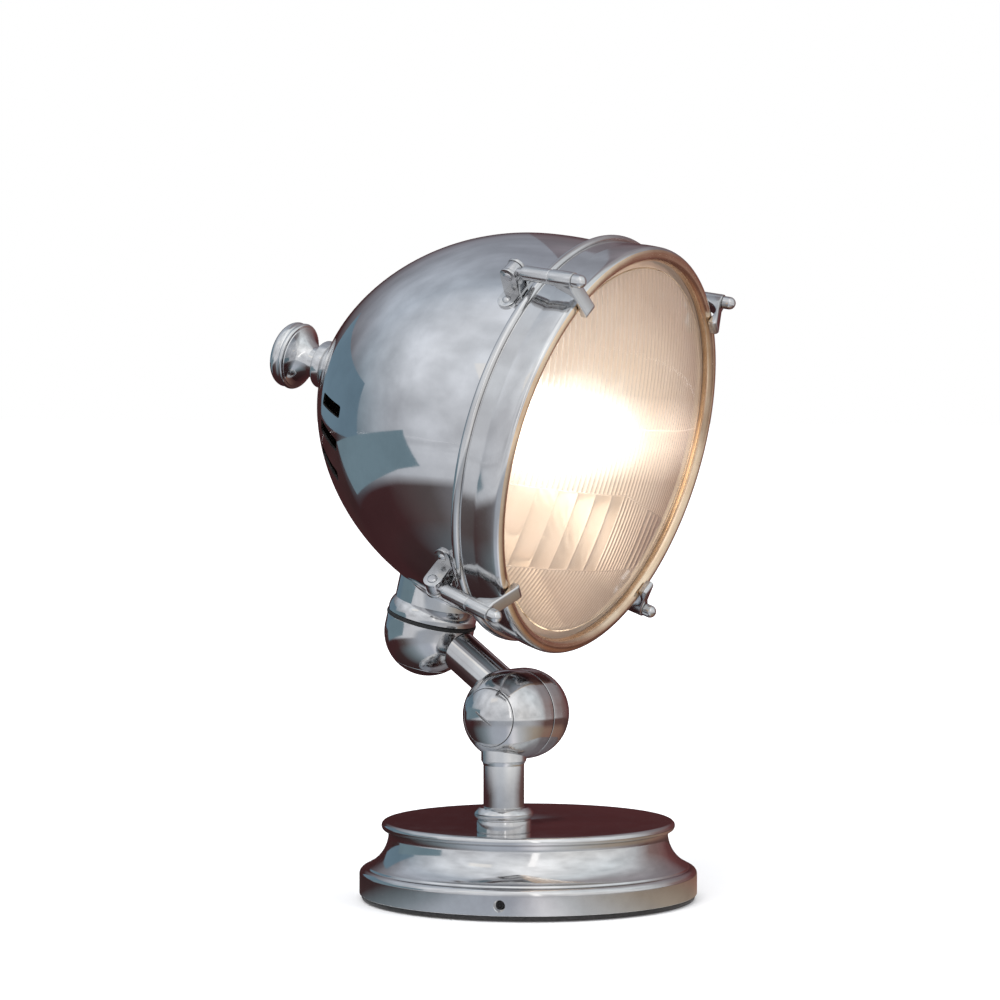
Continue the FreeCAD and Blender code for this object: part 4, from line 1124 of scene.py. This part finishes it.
def world():
    made = bpy.data.worlds.new("studio")
    made.use_nodes = True
    tree = made.node_tree
    out = tree.nodes["World Output"]
    dim = tree.nodes["Background"]
    dim.inputs["Color"].default_value = (0.82, 0.83, 0.86, 1)
    dim.inputs["Strength"].default_value = 0.75
    white = node(tree, "Background", Color=(1, 1, 1, 1), Strength=1.0)
    tree.links.new(seen_white(tree, dim.outputs[0], white.outputs[0]), out.inputs["Surface"])
    bpy.context.scene.world = made


def stage_piece(name, bm, material, at, shown=False):
    """Scenery. What isn't shown is seen only in metal and through glass."""
    mesh = new_mesh(name, bm)
    mesh.materials.append(material)
    made = new_object(name, mesh)
    made.matrix_world = at
    if not shown:
        for way in ("camera", "diffuse", "shadow", "volume_scatter"):
            setattr(made, f"visible_{way}", False)


def plane(name, width, depth, at, material, shown):
    bm = bmesh.new()
    bmesh.ops.create_grid(bm, x_segments=1, y_segments=1, size=0.5)
    bmesh.ops.transform(bm, matrix=Matrix.Diagonal((width, depth, 1, 1)), verts=bm.verts)
    stage_piece(name, bm, material, at, shown)


def floor():
    """Pale floor that shows white where it is lit and keeps the lamp's shadow."""
    made, tree, shader = shader_of("white_floor", {
        "Base Color": (0.8, 0.8, 0.805, 1), "Roughness": 0.9, "Specular IOR Level": 0.0})
    far = vector_math(tree, "LENGTH", position(tree)).outputs["Value"]
    glow = node(tree, "Emission", Strength=spread(tree, far, 0.14, 1.0, 0.16, 0.85))
    lifted = feed_all(tree, node(tree, "AddShader"), (shader.outputs[0], glow.outputs[0]))
    tree.links.new(seen_white(tree, shader.outputs[0], lifted.outputs[0]),
                   tree.nodes["Material Output"].inputs["Surface"])
    plane("floor", 60, 60, move(0, 0, -0.0001), made, True)


def glow_card(name, colour, strength):
    """A material that only glows."""
    made, tree, shader = shader_of(name, {})
    tree.nodes.remove(shader)
    light = node(tree, "Emission", Strength=strength, Color=(*colour, 1))
    tree.links.new(light.outputs[0], tree.nodes["Material Output"].inputs["Surface"])
    return made, tree, light


def blend(tree, amount, first, second):
    """A colour between two others, by an amount."""
    made = node(tree, "Mix", data_type="RGBA", Factor=amount, A=first, B=second)
    return made.outputs["Result"]


def round_ramp(tree, turn, stops):
    """Colours listed round the lamp. A stop is at an azimuth, as in direction."""
    return ramp(tree, turn, [((azimuth + 180) / 360, colour) for azimuth, colour in stops])


def workshop_colour(tree):
    """A made-up room, fixed in the world: grey ahead and above, reddish dark behind."""
    place_at = position(tree)
    turned = node(tree, "VectorRotate", rotation_type="Z_AXIS", Vector=place_at,
                  Angle=-radians(CAMERA_AZIMUTH))
    parts = node(tree, "SeparateXYZ", Vector=turned.outputs[0])
    back = math_of(tree, "MULTIPLY", parts.outputs["Y"], -1.0)
    angle = math_of(tree, "ARCTAN2", parts.outputs["X"], back)
    turn = spread(tree, angle, -pi, pi, 0, 1)
    level = round_ramp(tree, turn, [
        (-180, (0.06, 0.02, 0.022)), (-132, (0.06, 0.03, 0.03)), (-112, (0.22, 0.29, 0.34)),
        (-84, (0.60, 0.63, 0.68)), (-50, (0.78, 0.80, 0.84)), (-8, (0.86, 0.89, 0.94)),
        (30, (1.0, 1.0, 1.0)), (96, (0.70, 0.72, 0.74)), (116, (0.28, 0.19, 0.18)),
        (150, (0.16, 0.06, 0.06)), (180, (0.08, 0.026, 0.028))])
    sky = round_ramp(tree, turn, [
        (-180, (0.42, 0.44, 0.50)), (-120, (0.58, 0.64, 0.72)), (-74, (1.0, 1.04, 1.1)),
        (-40, (0.94, 0.98, 1.03)), (10, (1.28, 1.3, 1.32)), (80, (0.92, 0.98, 1.02)),
        (130, (0.44, 0.42, 0.44)), (180, (0.30, 0.27, 0.30))])
    upper = blend(tree, spread(tree, parts.outputs["Z"], 0.9, 3.6, 0, 1), level, sky)
    scale = vector_math(tree, "SCALE", upper)
    clouds = spread(tree, noise_of(tree, 0.5, 3.0, 0.55), 0.34, 0.68, 0.8, 1.16)
    tree.links.new(clouds, scale.inputs["Scale"])
    return scale.outputs[0], turn, place_at


def ground_colour(tree):
    """The ground: reddish dark behind and grey ahead, and as the room farther off."""
    room, turn, place_at = workshop_colour(tree)
    near = round_ramp(tree, turn, [
        (-180, (0.03, 0.011, 0.012)), (-96, (0.055, 0.032, 0.033)), (-72, (0.16, 0.19, 0.21)),
        (-54, (0.28, 0.33, 0.37)), (-36, (0.50, 0.55, 0.62)), (-8, (0.54, 0.58, 0.66)), (6, (1.0, 1.0, 1.05)),
        (20, (0.66, 0.68, 0.70)), (42, (0.50, 0.47, 0.43)), (60, (0.44, 0.37, 0.30)), (86, (0.34, 0.26, 0.2)),
        (114, (0.30, 0.17, 0.13)), (180, (0.07, 0.03, 0.03))])
    deep = round_ramp(tree, turn, [
        (-180, (0.05, 0.018, 0.02)), (-92, (0.07, 0.03, 0.032)), (-70, (0.12, 0.10, 0.10)),
        (-52, (0.30, 0.31, 0.34)), (-30, (0.46, 0.50, 0.56)), (50, (0.55, 0.56, 0.58)),
        (100, (0.16, 0.09, 0.08)), (180, (0.06, 0.025, 0.025))])
    far = vector_math(tree, "LENGTH", place_at).outputs["Value"]
    middle = blend(tree, spread(tree, far, 0.3, 0.45, 0, 1), near, deep)
    return blend(tree, spread(tree, far, 0.78, 0.98, 0, 1), middle, room)


def surroundings():
    """A dome and a disc that only metal and glass see, in place of the white around."""
    sphere = bmesh.new()
    bmesh.ops.create_icosphere(sphere, subdivisions=4, radius=6.0)
    material, tree, light = glow_card("workshop", (0.3, 0.3, 0.3), 1.0)
    tree.links.new(workshop_colour(tree)[0], light.inputs["Color"])
    stage_piece("workshop", sphere, material, move(0, 0, 0.3))
    disc = bmesh.new()
    inner, outer, sides = 0.1195, 5.9, 96
    low, high = [[disc.verts.new((r * cos(a), r * sin(a), 0)) for a in circle(sides)]
                 for r in (inner, outer)]
    skin(disc, low, high)
    material, tree, light = glow_card("ground", (0.1, 0.06, 0.06), 1.0)
    tree.links.new(ground_colour(tree), light.inputs["Color"])
    stage_piece("ground", disc, material, move(0, 0, 0.0004))


def circle(count):
    return [2 * pi * k / count for k in range(count)]


def direction(azimuth, elevation):
    """Away from the lamp. Azimuth runs from the camera's side to the picture's right."""
    turn = radians(CAMERA_AZIMUTH + azimuth)
    rise = radians(elevation)
    return Vector((sin(turn) * cos(rise), -cos(turn) * cos(rise), sin(rise)))


def card(name, width, height, distance, azimuth, elevation, colour, strength, roll=0.0):
    """A glowing card of the made-up room. It faces the lamp."""
    away = direction(azimuth, elevation)
    material = glow_card(name, colour, strength)[0]
    facing = away.to_track_quat("Z", "Y").to_matrix().to_4x4()
    at = Matrix.Translation(away * distance + Vector((0, 0, 0.3))) @ facing @ rotation("Z", roll)
    plane(name, width, height, at, material, False)


def cards():
    card("window", 0.32, 2.8, 3.2, 5, 18, (1.0, 1.0, 1.0), 1.6, 4)
    card("high_window", 0.9, 0.5, 3.0, -44, 36, (1.0, 0.99, 0.97), 1.15, 20)
    card("blue_wall", 0.84, 0.24, 0.85, -98, -9.5, (0.20, 0.29, 0.34), 1.0, 6)
    card("blue_door", 2.7, 1.3, 3.4, -130, 8, (0.17, 0.26, 0.33), 1.0, -8)


def lamp(name, azimuth, elevation, distance, size, power):
    away = direction(azimuth, elevation)
    data = bpy.data.lights.new(name, "AREA")
    data.shape = "RECTANGLE"
    data.size, data.size_y = size
    data.energy = power
    made = new_object(name, data)
    made.location = away * distance + Vector((0, 0, 0.25))
    made.rotation_euler = away.to_track_quat("Z", "Y").to_euler()
    made.visible_glossy = False


def lights():
    lamp("key", -34, 52, 2.6, (1.4, 1.4), 44)
    lamp("fill", 52, 34, 3.0, (1.2, 1.8), 22)
    lamp("top", 150, 74, 2.8, (1.6, 1.6), 24)


bpy.context.scene.view_settings.view_transform = "Standard"
camera()
base_cover()
base_fittings()
knuckle()
tubes()
neck()
shell()
bezel()
lens()
inside()
rear()
brackets()
for k in range(4):
    clamp(k)
dress_kept()
world()
floor()
surroundings()
cards()
lights()
